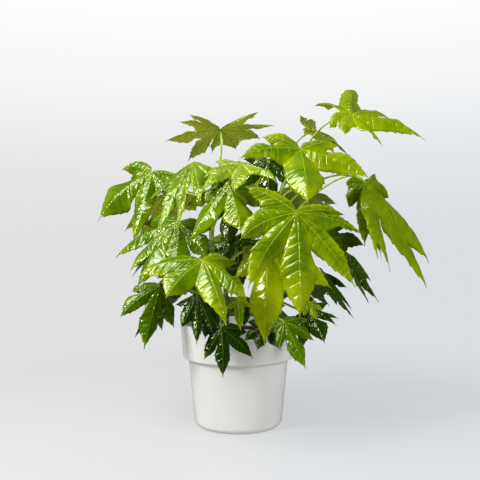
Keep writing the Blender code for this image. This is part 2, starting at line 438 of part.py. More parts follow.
class Palm:
    """The form of one leaf. forward runs along the middle lobe, side across it, and normal out of the upper
    face. Each lobe has a midrib, which droops and curves as it goes, and its two halves hang from it."""

    def __init__(self, row):
        self.row = row
        self.hub = row["hub"]
        reach, wing = row["tip"] - self.hub, row["wing"] - self.hub
        self.length = reach.length * (1 + ARCH_ALLOWANCE * row["droop"] ** 2)
        self.forward = reach.normalized()
        self.side = (wing - self.forward * wing.dot(self.forward)).normalized()
        self.normal = self.forward.cross(self.side)
        if self.normal.dot(self.hub - PLANT_CENTRE) < 0:
            self.side, self.normal = -self.side, -self.normal
        self.cone = [math.radians(angle) for angle in row["cone"]]
        self.forward, self.normal = swing((self.forward, self.normal), self.side, -self.cone[0])
        self.width = row["width"] or HALF_WIDTH[row["lobes"]]
        self.add_lobes(random.Random(row["mark"]))

    def add_lobes(self, draw):
        """Works out every lobe from one side to the other, each a little different."""
        plan = PALMS[self.row["lobes"]]
        both_sides = [(-angle, share) for angle, share in reversed(plan[1:])] + list(plan)
        self.angles, self.shares, self.widths, self.ribs, self.phases = [], [], [], [], []
        for k, (angle, share) in enumerate(both_sides):
            lobe = k - len(plan) + 1
            if lobe:
                angle += draw.uniform(-SPREAD_IN_ANGLE, SPREAD_IN_ANGLE)
                share *= draw.uniform(1 - SPREAD_IN_LENGTH, 1 + SPREAD_IN_LENGTH)
            droop = self.row["droop"] * draw.uniform(1 - SPREAD_IN_DROOP, 1 + SPREAD_IN_DROOP)
            turn, longer, lower, wider = self.row["change"].get(lobe, (0, 1, 1, 1))
            angle, share, droop = angle + turn, share * longer, droop * lower
            bend = SWAY * (draw.uniform(-1, 1) - angle / OUTER_ANGLE)
            phases = draw.uniform(0, FULL_TURN), draw.uniform(0, FULL_TURN)
            twist = TWIST * math.cos(phases[0])
            self.angles.append(math.radians(angle))
            self.shares.append(share)
            self.widths.append(self.width * wider)
            self.ribs.append(self.midrib(math.radians(angle), self.length * share, droop, bend, twist))
            self.phases.append(phases)

    def midrib(self, angle, length, droop, bend, twist):
        """Frames down one lobe, each a point with the directions along, across and up."""
        along = self.forward * math.cos(angle) + self.side * math.sin(angle)
        across = self.normal.cross(along)
        fall = self.cone[0] + (self.cone[1] - self.cone[0]) * (math.degrees(angle) / OUTER_ANGLE) ** 2
        frame = swing((along, across, self.normal), across, fall)
        lean = frame[0].cross(DOWN)
        frame = swing(frame, frame[2], -bend / 2)
        frame = swing(frame, lean, -FIRST_LIFT * droop * lean.length)
        point = self.hub.copy()
        rows = [(point, *frame)]
        for k in range(RIB_STEPS):
            lean = frame[0].cross(DOWN)
            frame = swing(frame, lean, 2 * droop * lean.length * (k + 0.5) / RIB_STEPS ** 2)
            frame = swing(frame, frame[2], bend / RIB_STEPS)
            frame = swing(frame, frame[0], twist / RIB_STEPS)
            point = point + frame[0] * length / RIB_STEPS
            rows.append((point, *frame))
        return rows

    def on_rib(self, lobe, down, out, up):
        """A point so far down a lobe's midrib, out across it and up from it."""
        place = min(max(down / (self.length * self.shares[lobe]), 0), 1) * RIB_STEPS
        k = min(int(place), RIB_STEPS - 1)
        pairs = zip(self.ribs[lobe][k], self.ribs[lobe][k + 1])
        point, _, across, above = (before.lerp(after, place - k) for before, after in pairs)
        return point + across * out + above * up

    def notch(self, lobe, side):
        """How far the notch beside a lobe lies from the hub, half the angle to the next lobe, and whether
        there is a next lobe."""
        beside = lobe + side
        if 0 <= beside < len(self.angles):
            share = min(self.shares[lobe], self.shares[beside])
            half = abs(self.angles[beside] - self.angles[lobe]) / 2
            return self.row["notch"] * self.length * (NOTCH_BASE + (1 - NOTCH_BASE) * share), half, True
        return OUTER_FLANK[0] * self.length * self.shares[lobe], OUTER_FLANK[1], False

    def edge(self, lobe, side, w, tooth=0.0):
        """The edge of a lobe at a place between its notch, 0, and its tip, 1: down the midrib and out."""
        reach, half, _ = self.notch(lobe, side)
        length = self.length * self.shares[lobe]
        start, out = reach * math.cos(half), reach * math.sin(half)
        widest = self.widths[lobe] * length
        if w < WIDEST_PLACE:
            out += (widest - out) * smooth(w / WIDEST_PLACE)
        else:
            past = (w - WIDEST_PLACE) / (1 - WIDEST_PLACE)
            taper = (1 - min(past / TIP_START, 1) ** TIP_TAPER[0]) ** TIP_TAPER[1]
            out = widest * (taper + DRAWN_TIP * (1 - past - taper))
        return start + (length - start) * w + TOOTH_LEAN * tooth * length, out + tooth * length

    def point(self, lobe, side, w, v, tooth=0.0):
        """A point of the blade. w goes from the hub, -1, past the notch, 0, to the tip, 1, and v from the
        midrib, 0, to the edge, 1, along the side veins. Next to a notch it follows both midribs alike."""
        reach, half, shared = self.notch(lobe, side)
        length = self.length * self.shares[lobe]
        bare_down, bare_out = self.edge(lobe, side, max(w, 0.0))
        if w <= 0:
            k, fade, wave = w + 1, 1.0, 0.0
            edge_down, edge_out = reach * math.cos(half) * k, reach * math.sin(half) * k
            rib_down = (bare_down - VEIN_RAKE * bare_out) * k
        else:
            edge_down, edge_out = self.edge(lobe, side, w, tooth)
            rib_down = min(bare_down - VEIN_RAKE * bare_out, length)
            fade = 1 - smooth(w / BLEND_REACH)
            phase = self.phases[lobe][(1 - side) // 2]
            rise = WAVE * length * smooth(w / WAVE_START) * (1 - w)
            wave = rise * math.sin(phase + WAVE_RATE * w) * v * v
        down, out = rib_down + (edge_down - rib_down) * v, edge_out * v
        up = FOLD * self.row["fold"] * out + wave
        at = self.on_rib(lobe, down, out * side, up)
        if shared and fade > 0:
            far, turn = math.hypot(down, out), 2 * half - math.atan2(out, down)
            other = self.on_rib(lobe + side, far * math.cos(turn), -side * far * math.sin(turn), up)
            at = at.lerp(other, 0.5 * fade * smooth(v))
        return at

    def sheet(self):
        """The blade as an open surface of triangles: points and faces. Each half lobe is a strip between
        its midrib and its edge, and neighbouring lobes share their notch."""
        points, faces, notches = [self.hub], [], {}
        detail = self.row["detail"]
        for lobe in range(len(self.angles)):
            rib = [0]
            for w in (0.0, *RIB_PLACES[detail], 1.0):
                rib.append(len(points))
                points.append(self.point(lobe, 1, w, 0))
            for side in (1, -1):
                pair = (min(lobe, lobe + side), max(lobe, lobe + side))
                if pair not in notches:
                    notches[pair] = len(points)
                    points.append(self.point(lobe, side, 0, 1))
                margin = [0, notches[pair]]
                for w, toothed in EDGE_PLACES[detail]:
                    margin.append(len(points))
                    points.append(self.point(lobe, side, w, 1, TOOTH * toothed))
                margin.append(rib[-1])
                faces += strip(rib, margin, points, side)
        return points, faces

    def stalk_line(self):
        """Points from beside the stem, up and out, to the hub, where the stalk meets the blade from below."""
        ground, top = STEMS[self.row["stem"]]
        middle = ground.lerp(top, (self.row["joint"] - ground.z) / (top.z - ground.z))
        out = ((self.hub - middle) * Vector((1, 1, 0))).normalized()
        end_radius = STALK_SWELLING * self.row["stalk"]
        start = middle + out * (STEM_RADIUS + CLEARANCE + end_radius * STALK_RISE[1])
        handle = (self.hub - start).length * STALK_BOW
        leave = (out * STALK_RISE[0] + Vector((0, 0, STALK_RISE[1]))).normalized()
        ahead, above = self.row["arrive"]
        meet = (self.forward * ahead + self.normal * above).normalized()
        bends = (start, start + leave * handle, self.hub - meet * handle, self.hub)
        points = [bezier(bends, k / (STALK_POINTS - 1)) for k in range(STALK_POINTS)]
        slope = (points[1] - points[0]).normalized().z
        points[0] = middle + out * (STEM_RADIUS + CLEARANCE + end_radius * abs(slope))
        return points


def bezier(bends, t):
    """A point of the cubic curve with four control points."""
    shares = ((1 - t) ** 3, 3 * (1 - t) ** 2 * t, 3 * (1 - t) * t * t, t ** 3)
    return sum((bend * share for bend, share in zip(bends, shares)), Vector((0, 0, 0)))


def strip(rib, margin, points, side):
    """Triangles between two chains of point numbers that start and end together, along the shorter
    diagonals, facing up on both sides of the midrib."""
    faces, i, j = [], 0, 0
    while i < len(rib) - 1 or j < len(margin) - 1:
        if i == len(rib) - 1:
            take_margin = True
        elif j == len(margin) - 1:
            take_margin = False
        else:
            to_margin = (points[margin[j + 1]] - points[rib[i]]).length
            take_margin = to_margin < (points[rib[i + 1]] - points[margin[j]]).length
        face = (rib[i], margin[j + 1] if take_margin else rib[i + 1], margin[j])
        if take_margin:
            j += 1
        else:
            i += 1
        if len(set(face)) == 3:
            faces.append(face[::-1] if side > 0 else face)
    return faces


def leaf_piece(number, row, collection, material):
    """A blade of one thickness all over, joined to its stalk, which thins towards the hub."""
    palm = Palm(row)
    points, faces = palm.sheet()
    mesh = bpy.data.meshes.new("blade")
    mesh.from_pydata(points, [], faces)
    blade = place(f"leaf_{number:02d}", mesh, collection, material)
    thickness = blade.modifiers.new("Thickness", "SOLIDIFY")
    thickness.thickness = BLADE_THICKNESS
    thickness.offset = 0.0
    line = palm.stalk_line()
    radii = [row["stalk"] * (STALK_SWELLING + (1 - STALK_SWELLING) * k / (STALK_POINTS - 1))
             for k in range(STALK_POINTS)]
    stalk = settled(rod(f"stalk_{number:02d}", line, radii, 0, collection), collection)
    stalk.data.materials.append(material)
    join = blade.modifiers.new("Stalk", "BOOLEAN")
    join.operation = "UNION"
    join.object = stalk
    piece = settled(blade, collection)
    piece.name = f"leaf_{number:02d}"
    bpy.data.objects.remove(stalk, do_unlink=True)
    piece.data.shade_smooth()
    piece.data.set_sharp_from_angle(angle=math.radians(60))
    return piece


def build():
    clear_scene()
    plant = new_collection("fatsia_japonica")
    cutters = new_collection("cutters")
    pot(plant)
    soil(plant, cutters)
    bark = finish("stem_green", "stem", 0.5)
    for number in range(len(STEMS)):
        stem(number, plant, bark)
    greens = {age: finish(f"leaf_{age}", age, 0.35) for age in ("young", "grown", "shiny", "old")}
    for number, row in enumerate(LEAVES, start=1):
        leaf_piece(number, row, plant, greens[row["age"]])


build()
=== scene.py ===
import json
import math
import random

import bmesh
import bpy
import numpy as np
from mathutils import Matrix, Vector, noise

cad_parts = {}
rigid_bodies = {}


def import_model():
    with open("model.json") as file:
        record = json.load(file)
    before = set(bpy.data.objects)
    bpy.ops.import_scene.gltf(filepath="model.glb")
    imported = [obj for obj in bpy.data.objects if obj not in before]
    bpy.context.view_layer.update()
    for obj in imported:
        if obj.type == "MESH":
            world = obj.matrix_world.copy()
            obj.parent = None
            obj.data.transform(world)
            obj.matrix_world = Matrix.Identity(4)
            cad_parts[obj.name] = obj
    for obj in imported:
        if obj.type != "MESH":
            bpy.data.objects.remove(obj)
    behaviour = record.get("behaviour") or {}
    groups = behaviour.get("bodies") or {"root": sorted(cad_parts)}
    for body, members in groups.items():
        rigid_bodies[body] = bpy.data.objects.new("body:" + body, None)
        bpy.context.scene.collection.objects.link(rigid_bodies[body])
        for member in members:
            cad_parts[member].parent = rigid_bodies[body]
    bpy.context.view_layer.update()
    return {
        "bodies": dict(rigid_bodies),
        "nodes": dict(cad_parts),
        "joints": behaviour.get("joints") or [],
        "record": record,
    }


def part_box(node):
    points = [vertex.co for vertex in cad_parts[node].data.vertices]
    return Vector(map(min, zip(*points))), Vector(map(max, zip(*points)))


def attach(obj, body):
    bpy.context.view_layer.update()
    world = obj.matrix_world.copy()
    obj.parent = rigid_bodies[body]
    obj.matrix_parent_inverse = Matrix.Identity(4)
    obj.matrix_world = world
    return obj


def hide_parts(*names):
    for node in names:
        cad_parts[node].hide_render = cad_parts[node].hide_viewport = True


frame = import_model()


# The pot is thrown as one shell of white earthenware: a flaring collar over a step, and a body that
# tapers to a flat base. It is glazed inside and out, a little creamier on its edges.
POT_SIDES = 144
POT_WALL = 0.005
POT_FLOOR = 0.007
FOOT_RADIUS = 0.080
FOOT_ROUNDING = 0.011
BODY_RADIUS = 0.0905
BODY_TOP_HEIGHT = 0.118
BORE_STEP_HEIGHT = BODY_TOP_HEIGHT - 0.002
COLLAR_FOOT_RADIUS = 0.101
COLLAR_FOOT_HEIGHT = 0.126
RIM_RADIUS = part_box("pot")[1].x
POT_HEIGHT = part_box("pot")[1].z
GLAZE_WHITE = (0.630, 0.627, 0.605, 1.0)
GLAZE_CREAM = (0.590, 0.575, 0.530, 1.0)
GLAZE_CLOUD_SCALE = 14.0
GLAZE_PIT_SCALE = 260.0
WHEEL_MARK_SCALE = 40.0
SMOOTH_ANGLE = math.radians(50)
WELD = 0.00001


class Shade:
    """A value in a material's node tree. Arithmetic on it adds Math nodes."""

    def __init__(self, tree, socket=None):
        self.tree = tree
        self.socket = socket

    def add(self, kind, settings, values, output=0):
        """Adds a node, gives it its settings, then values or links to its sockets, and returns one output."""
        node = self.tree.nodes.new("ShaderNode" + kind)
        for name, setting in settings.items():
            setattr(node, name, setting)
        for name, value in values.items():
            if isinstance(value, Shade):
                self.tree.links.new(value.socket, node.inputs[name])
            else:
                node.inputs[name].default_value = value
        return Shade(self.tree, node.outputs[output])

    def maths(self, operation, *values):
        return self.add("Math", {"operation": operation}, dict(enumerate(values)))

    def __add__(self, other):
        return self.maths("ADD", self, other)

    def __sub__(self, other):
        return self.maths("SUBTRACT", self, other)

    def __rsub__(self, other):
        return self.maths("SUBTRACT", other, self)

    def __mul__(self, other):
        return self.maths("MULTIPLY", self, other)

    def ramp(self, low, high, bottom=0.0, top=1.0):
        """Goes smoothly from bottom to top while the value goes from low to high."""
        return self.add("MapRange", {"interpolation_type": "SMOOTHSTEP"},
                        {"Value": self, "From Min": low, "From Max": high, "To Min": bottom, "To Max": top})

    def mix(self, one, other):
        """The colour one where the value is 0, and other where it is 1."""
        return self.add("Mix", {"data_type": "RGBA", "clamp_factor": True}, {0: self, 6: one, 7: other}, 2)

    def most(self, other):
        return self.maths("MAXIMUM", self, other)

    def from_whole(self):
        """How far the value lies from the nearest whole number."""
        return 0.5 - self.maths("ABSOLUTE", self.maths("FRACT", self) - 0.5)

    def place(self):
        """Where on the object the shaded point lies."""
        return self.add("TexCoord", {}, {}, "Object")

    def carried(self, name, output="Fac"):
        """What the mesh carries under a name."""
        return self.add("Attribute", {"attribute_name": name}, {}, output)

    def part(self, k):
        """X, Y or Z of a vector, by 0, 1 or 2."""
        return self.add("SeparateXYZ", {}, {0: self}, k)

    def noise(self, scale, detail, roughness=0.5):
        """Cloudy noise, read at this place."""
        values = {"Vector": self, "Scale": scale, "Detail": detail, "Roughness": roughness}
        return self.add("TexNoise", {}, values)

    def bump(self, strength, distance):
        """The bumped normal that this height gives."""
        return self.add("Bump", {}, {"Strength": strength, "Distance": distance, "Height": self})


def new_material(name):
    """A material with one Principled shader: its tree as a Shade, and the shader's sockets."""
    material = bpy.data.materials.new(name)
    material.use_nodes = True
    return material, Shade(material.node_tree), material.node_tree.nodes["Principled BSDF"].inputs


def feed(tree, sockets, **sources):
    """Links or sets the shader's sockets, each named with _ for a space."""
    for name, source in sources.items():
        socket = sockets[name.replace("_", " ").title().replace("Ior", "IOR")]
        if isinstance(source, Shade):
            tree.tree.links.new(source.socket, socket)
        else:
            socket.default_value = source


def start_alone():
    """Leaves nothing selected."""
    bpy.ops.object.select_all(action="DESELECT")


def arc(middle, radius, start, end, steps):
    """Points of a round stretch of a profile, from one angle to another in degrees, from +X."""
    angles = [math.radians(start + (end - start) * k / steps) for k in range(steps + 1)]
    return [(middle[0] + radius * math.cos(a), middle[1] + radius * math.sin(a)) for a in angles]


def between(start, end, steps):
    """Points inside a straight stretch of a profile, without its ends."""
    return [tuple(a + (b - a) * k / steps for a, b in zip(start, end)) for k in range(1, steps)]


def drawn_up(name, profile, sides):
    """A round shell: a disc on the profile's first ring is extruded from ring to ring."""
    start_alone()
    radius, height = profile[0]
    bpy.ops.mesh.primitive_circle_add(vertices=sides, radius=radius, fill_type="NGON",
                                      location=(0, 0, height))
    bpy.ops.object.transform_apply(location=True, rotation=False, scale=False)
    piece = bpy.context.active_object
    piece.name = name
    bpy.ops.object.mode_set(mode="EDIT")
    for (before, low), (after, high) in zip(profile, profile[1:]):
        bpy.ops.mesh.extrude_region_move(TRANSFORM_OT_translate={"value": (0, 0, high - low)})
        bpy.ops.transform.resize(value=(after / before, after / before, 1), center_override=(0, 0, high))
    bpy.ops.mesh.select_all(action="SELECT")
    bpy.ops.mesh.normals_make_consistent(inside=False)
    bpy.ops.object.mode_set(mode="OBJECT")
    return piece


def pot_profile():
    """From the edge of the flat base up the outer side, over the lip and down the bore to its floor."""
    lip = POT_WALL / 2
    step = COLLAR_FOOT_RADIUS - BODY_RADIUS
    foot = arc((FOOT_RADIUS - FOOT_ROUNDING, FOOT_ROUNDING), FOOT_ROUNDING, -90, 0, 8)
    hollow = arc((BODY_RADIUS + step / 5, BODY_TOP_HEIGHT), step / 5, 180, 90, 3)
    ledge = arc((COLLAR_FOOT_RADIUS - step / 4, COLLAR_FOOT_HEIGHT - step / 8), step / 4, -90, 0, 6)
    mouth = arc((RIM_RADIUS - lip, POT_HEIGHT - lip), lip, 0, 180, 10)
    bore = [(COLLAR_FOOT_RADIUS - POT_WALL, COLLAR_FOOT_HEIGHT), (BODY_RADIUS - POT_WALL, BORE_STEP_HEIGHT)]
    basin = arc((FOOT_RADIUS - 2 * POT_WALL, POT_FLOOR + POT_WALL), POT_WALL, 0, -90, 4)
    body = between(foot[-1], hollow[0], 6)
    collar = between(ledge[-1], mouth[0], 4)
    return foot + body + hollow + ledge + collar + mouth + bore + basin


def glaze():
    """White glaze: faint waves left by the wheel, creamier on the collar's edges, with a soft gloss."""
    material, tree, sockets = new_material("pot_white")
    place = tree.place()
    height = place.part(2)
    cloud = place.noise(GLAZE_CLOUD_SCALE, 3.0)
    pits = place.noise(GLAZE_PIT_SCALE, 2.0)
    edge = height.ramp(COLLAR_FOOT_HEIGHT, COLLAR_FOOT_HEIGHT - 0.005)
    edge = edge * height.ramp(BODY_TOP_HEIGHT - 0.003, BODY_TOP_HEIGHT + 0.002)
    edge = edge.most(height.ramp(POT_HEIGHT - 0.0015, POT_HEIGHT))
    wheel = tree.add("TexWave", {"bands_direction": "Z"},
                     {"Vector": place, "Scale": WHEEL_MARK_SCALE, "Distortion": 1.2}, 1)
    bump = (cloud * 0.7 + pits * 0.06 + wheel * 0.12).bump(0.25, 0.0003)
    feed(tree, sockets, base_color=(cloud * 0.3 + edge * 0.6).mix(GLAZE_WHITE, GLAZE_CREAM),
         roughness=cloud * 0.2 + 0.2, normal=bump, specular_ior_level=0.3,
         coat_weight=0.15, coat_roughness=0.12)
    return material


pot = drawn_up("glazed_pot", pot_profile(), POT_SIDES)
pot.data.materials.append(glaze())
bpy.ops.object.shade_smooth_by_angle(angle=SMOOTH_ANGLE)
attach(pot, "root")
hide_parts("pot")


# The potting mix fills the pot to a finger's width below the rim. It is dark peat with crumbs and bits of
# bark on top, pressed in round the stems, and reaches down to the pot's floor.
SOIL_TOP_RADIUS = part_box("soil")[1].x
SOIL_LEVEL = 0.165
SOIL_SIDES = 96
SOIL_RINGS = 30
SOIL_GAP = 0.0003
SOIL_SWELL = (30, 0.0022)
SOIL_LUMPS = (160, 0.0011)
SOIL_CROWN = 0.0035
CRUMBS = 420
CRUMB_SIZE = (0.0012, 0.0042)
CRUMB_REACH = 0.95
CRUMB_STAND = 0.2
CRUMB_TILT = 0.6
CRUMB_ROUGHNESS = 0.18
SOIL_DARK = (0.012, 0.007, 0.004, 1.0)
SOIL_LIGHT = (0.085, 0.050, 0.028, 1.0)


def soil_height(x, y):
    """Height of the mix above its level: slow swells with lumps on them, lower towards the pot's wall."""
    swell = noise.noise(Vector((x, y, 0)) * SOIL_SWELL[0]) * SOIL_SWELL[1]
    lumps = noise.fractal(Vector((x, y, 1)) * SOIL_LUMPS[0], 1.0, 2.0, 3) * SOIL_LUMPS[1]
    return swell + lumps + SOIL_CROWN * (1 - (math.hypot(x, y) / SOIL_TOP_RADIUS) ** 2)


def earth():
    """Dark matt peat, with lighter grains and patches."""
    material, tree, sockets = new_material("soil_dark")
    place = tree.place()
    grain = place.noise(420.0, 4.0)
    patch = place.noise(60.0, 2.0)
    colour = (grain * 0.6 + patch * 0.5).ramp(0.40, 0.75)
    feed(tree, sockets, base_color=colour.mix(SOIL_DARK, SOIL_LIGHT),
         roughness=grain.ramp(0.3, 0.7, 0.75, 0.98), normal=grain.bump(0.9, 0.0012))
    return material


def soil_profile():
    """From the pot's floor up its bore, then in over the top in rings."""
    side = [(FOOT_RADIUS - 2 * POT_WALL, POT_FLOOR + SOIL_GAP),
            (FOOT_RADIUS - POT_WALL - 2 * SOIL_GAP, POT_FLOOR + POT_WALL),
            (BODY_RADIUS - POT_WALL - 2 * SOIL_GAP, BORE_STEP_HEIGHT),
            (COLLAR_FOOT_RADIUS - POT_WALL - 2 * SOIL_GAP, COLLAR_FOOT_HEIGHT),
            (SOIL_TOP_RADIUS, SOIL_LEVEL)]
    rings = [(SOIL_TOP_RADIUS * (1 - k / SOIL_RINGS), SOIL_LEVEL) for k in range(1, SOIL_RINGS)]
    return side + rings


soil = drawn_up("potting_mix", soil_profile(), SOIL_SIDES)
surface = bmesh.new()
surface.from_mesh(soil.data)
for point in surface.verts:
    if point.co.z > SOIL_LEVEL - WELD:
        point.co.z += soil_height(point.co.x, point.co.y)
draw = random.Random("crumbs")
for _ in range(CRUMBS):
    out = SOIL_TOP_RADIUS * CRUMB_REACH * math.sqrt(draw.random())
    turn = draw.uniform(0, math.tau)
    x, y = out * math.cos(turn), out * math.sin(turn)
    size = draw.uniform(*CRUMB_SIZE) * draw.uniform(0.5, 1)
    spot = Vector((x, y, SOIL_LEVEL + soil_height(x, y) + size * CRUMB_STAND))
    stretch = Matrix.Diagonal((draw.uniform(0.7, 1.6), draw.uniform(0.6, 1.0), draw.uniform(0.35, 0.8), 1))
    spin = Matrix.Rotation(draw.uniform(0, math.tau), 4, "Z")
    tumble = spin @ Matrix.Rotation(draw.uniform(-CRUMB_TILT, CRUMB_TILT), 4, "X")
    crumb = bmesh.ops.create_icosphere(surface, subdivisions=1, radius=size,
                                       matrix=Matrix.Translation(spot) @ tumble @ stretch)
    for point in crumb["verts"]:
        push = Vector((draw.uniform(-1, 1), draw.uniform(-1, 1), draw.uniform(-1, 1)))
        point.co += push * size * CRUMB_ROUGHNESS
surface.to_mesh(soil.data)
surface.free()
soil.data.materials.append(earth())
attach(soil, "root")
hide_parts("soil")


# Four young stems stand in the mix. They are green and slightly ribbed, with a swelling and a pale ring of
# leaf scar at every joint, and each ends in a pointed bud.
STEM_RADIUS = 0.0045
STEM_DEPTH = 0.040
STEM_STEP = 0.0016
STEM_SIDES_SETTING = 8
BUD_LENGTH = 0.012
BUD_TAPER = (0.9, 1.4)
JOINT_SWELLING = 0.16
JOINT_REACH = 0.0022
SCAR_SPACING = 0.017
STEM_GREEN = (0.135, 0.235, 0.035, 1.0)
STEM_BROWN = (0.085, 0.070, 0.030, 1.0)
STEM_PALE = (0.330, 0.380, 0.140, 1.0)
RIB_SCALE = (900.0, 900.0, 60.0)
STEMS = (
    (Vector((-0.040, -0.034, SOIL_LEVEL)), Vector((-0.050, -0.045, 0.40))),
    (Vector((0.036, -0.036, SOIL_LEVEL)), Vector((0.050, -0.050, 0.40))),
    (Vector((-0.022, 0.040, SOIL_LEVEL)), Vector((-0.030, 0.030, 0.44))),
    (Vector((0.046, 0.030, SOIL_LEVEL)), Vector((0.062, 0.030, 0.42))),
)


def tube(name, points, radii, sides_setting):
    """A round rod along points, with a radius at each and closed ends, as a mesh object."""
    start_alone()
    line = bpy.data.curves.new(name, "CURVE")
    line.dimensions = "3D"
    line.bevel_depth = 1.0
    line.bevel_resolution = sides_setting
    line.use_fill_caps = True
    spline = line.splines.new("POLY")
    spline.points.add(len(points) - 1)
    for point, at, radius in zip(spline.points, points, radii):
        point.co = (*at, 1.0)
        point.radius = radius
    piece = bpy.data.objects.new(name, line)
    bpy.context.scene.collection.objects.link(piece)
    piece.select_set(True)
    bpy.context.view_layer.objects.active = piece
    bpy.ops.object.convert(target="MESH")
    bpy.ops.object.mode_set(mode="EDIT")
    bpy.ops.mesh.select_all(action="SELECT")
    bpy.ops.mesh.remove_doubles(threshold=WELD)
    bpy.ops.mesh.normals_make_consistent(inside=False)
    bpy.ops.object.mode_set(mode="OBJECT")
    return bpy.context.active_object


def stem_skin():
    """Green bark with fine lengthwise ribs, browner near the soil, and paler rings at the leaf scars."""
    material, tree, sockets = new_material("stem_green")
    place = tree.place()
    patch = place.noise(90.0, 3.0)
    ribs = tree.add("Mapping", {}, {"Vector": place, "Scale": RIB_SCALE}).noise(1.0, 2.0)
    age = place.part(2).ramp(0.34, 0.17) * patch.ramp(0.3, 0.6, 0.4, 1.0)
    green = age.mix(STEM_GREEN, STEM_BROWN)
    feed(tree, sockets, base_color=(tree.carried("scar") * 0.7).mix(green, STEM_PALE),
         roughness=patch.ramp(0.3, 0.7, 0.38, 0.55), normal=(ribs + patch * 0.5).bump(0.5, 0.0005))
    return material


def stem_points(number):
    """Points up a stem, from its foot in the soil to the bud's tip, the radius at each, and how much of a
    leaf scar it carries."""
    ground, top = STEMS[number]
    along = (top - ground).normalized()
    whole = (top - ground).length + STEM_DEPTH
    points, radii, scars = [], [], []
    for k in range(int((whole + BUD_LENGTH) / STEM_STEP) + 1):
        far = k * STEM_STEP
        joint = (far / SCAR_SPACING) % 1.0 * SCAR_SPACING - SCAR_SPACING / 2
        ring = math.exp(-(joint / JOINT_REACH) ** 2)
        bud = max(0.0, far - whole) / BUD_LENGTH
        radius = STEM_RADIUS * (1 + JOINT_SWELLING * ring) * (1 - BUD_TAPER[0] * bud ** BUD_TAPER[1])
        points.append(ground + along * (far - STEM_DEPTH))
        radii.append(radius)
        scars.append(ring)
    return points, radii, scars


bark = stem_skin()
for number in range(len(STEMS)):
    points, radii, scars = stem_points(number)
    stem = tube(f"green_stem_{number + 1}", points, radii, STEM_SIDES_SETTING)
    along = (STEMS[number][1] - STEMS[number][0]).normalized()
    marks = stem.data.attributes.new("scar", "FLOAT", "POINT")
    for k, point in enumerate(stem.data.vertices):
        far = (point.co - points[0]).dot(along) / STEM_STEP
        marks.data[k].value = scars[min(max(round(far), 0), len(scars) - 1)]
    stem.data.materials.append(bark)
    stem.data.shade_smooth()
    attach(stem, "root")
    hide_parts(f"stem_{number + 1}")


# The leaves hang around the stems, each a thin glossy hand of five to nine lobes on its own stalk. A lobe
# has a midrib, side veins that run forward to small teeth, and puffed skin between the veins.
BLADE_THICKNESS = 0.0005
TOOTH = 0.021
TOOTH_LEAN = 0.35
TOOTH_SIZES = (0.55, 1.35)
TOOTH_ROWS = (0.0, 0.10, 0.30, 0.50, 0.70, 0.87)
PALM_ROWS = (0.0, 0.25, 0.5, 0.75)
PALM_VEINS = 3
COLUMNS = {"fine": (0, 0.05, 0.13, 0.25, 0.40, 0.56, 0.72, 0.87, 1),
           "plain": (0, 0.06, 0.16, 0.31, 0.49, 0.67, 0.85, 1)}
VEINS = {"fine": 7, "plain": 6, "coarse": 4}
QUILT = 0.0095
QUILT_ROUNDNESS = (0.75, 0.8)
QUILT_LOSS_AT_TIP = 0.6
PUFF_RANGE = (0.3, 1.7)
RUFFLE = 0.013
RUFFLE_RATE = 19.0
EDGE_ROLL = -0.12
RIB_GROOVE = 0.00045
RIB_GROOVE_REACH = 0.0012
RIB_HALF_WIDTH = (0.0008, 0.00025)
RIB_STEPS = 20
FOLD = -0.30
WAVE = 0.052
WAVE_RATE = 6.0
WAVE_START = 0.3
SWAY = 0.15
TWIST = 0.35
OUTER_ANGLE = 115.0
FIRST_LIFT = 1 / 3
ARCH_ALLOWANCE = 0.03
VEIN_RAKE = 0.5
WIDEST_PLACE = 0.34
TIP_TAPER = (1.7, 1.3)
TIP_START = 0.90
DRAWN_TIP = 0.08
BLEND_REACH = 0.4
NOTCH_BASE = 0.7
OUTER_FLANK = (0.20, math.radians(38))
SPREAD_IN_ANGLE = 3.0
SPREAD_IN_LENGTH = 0.06
SPREAD_IN_DROOP = 0.2
PLANT_CENTRE = Vector((0.0, 0.0, 0.20))
DOWN = Vector((0.0, 0.0, -1.0))
STALK_RADIUS = 0.0016
STALK_SWELLING = 1.4
STALK_BOW = 0.38
STALK_RISE = (0.6, 0.8)
STALK_STEPS = 26
STALK_CLASP = (0.9, 0.035)
STALK_KNUCKLE = (0.25, 0.04)
STALK_NECK = (0.55, 0.012)
HUB_DEPTH = 0.0006
STALK_SIDES_SETTING = 4

# Lobes on one side of a leaf, by the number of lobes in all: turn from the middle lobe in degrees, and
# length as a share of the middle lobe's. The widest half width is a share of each lobe's own length.
PALMS = {
    5: ((0, 1.0), (46, 0.84), (98, 0.58)),
    7: ((0, 1.0), (37, 0.86), (74, 0.66), (114, 0.48)),
    9: ((0, 1.0), (31, 0.92), (62, 0.80), (94, 0.62), (128, 0.44)),
}
HALF_WIDTH = {5: 0.200, 7: 0.170, 9: 0.160}


def leaf(mark, age, stem, joint, hub, tip, wing, **shape):
    """One row of the leaf list. The mark seeds the leaf's small irregularities. The stalk leaves its stem at
    the height joint and carries the blade at hub, the middle lobe ends near tip, and wing is a point beside
    the hub, on the blade's level. change turns a lobe, counted from the middle one, by some degrees, and
    multiplies its length, its droop and its width. cone is how far the middle and the outermost lobes fall,
    in degrees. fold multiplies how far the halves of the lobes hang.
    The tone setting goes from the age's deep colour, 0, to its light one, 1. Set leaf by leaf, it is partly
    the leaf's own colour and partly painted light and shade: higher for a leaf in the light, lower for one in
    others' shade."""
    row = {"lobes": 7, "droop": 0.6, "cone": (0, 40), "detail": "plain", "notch": 0.38, "width": None,
           "arrive": (0.7, 0.7), "stalk": STALK_RADIUS, "change": {}, "fold": 1.0, "tone": 0.5}
    row.update(shape)
    row.update(mark=mark, age=age, stem=stem, joint=joint)
    row.update(hub=Vector(hub), tip=Vector(tip), wing=Vector(wing))
    return row


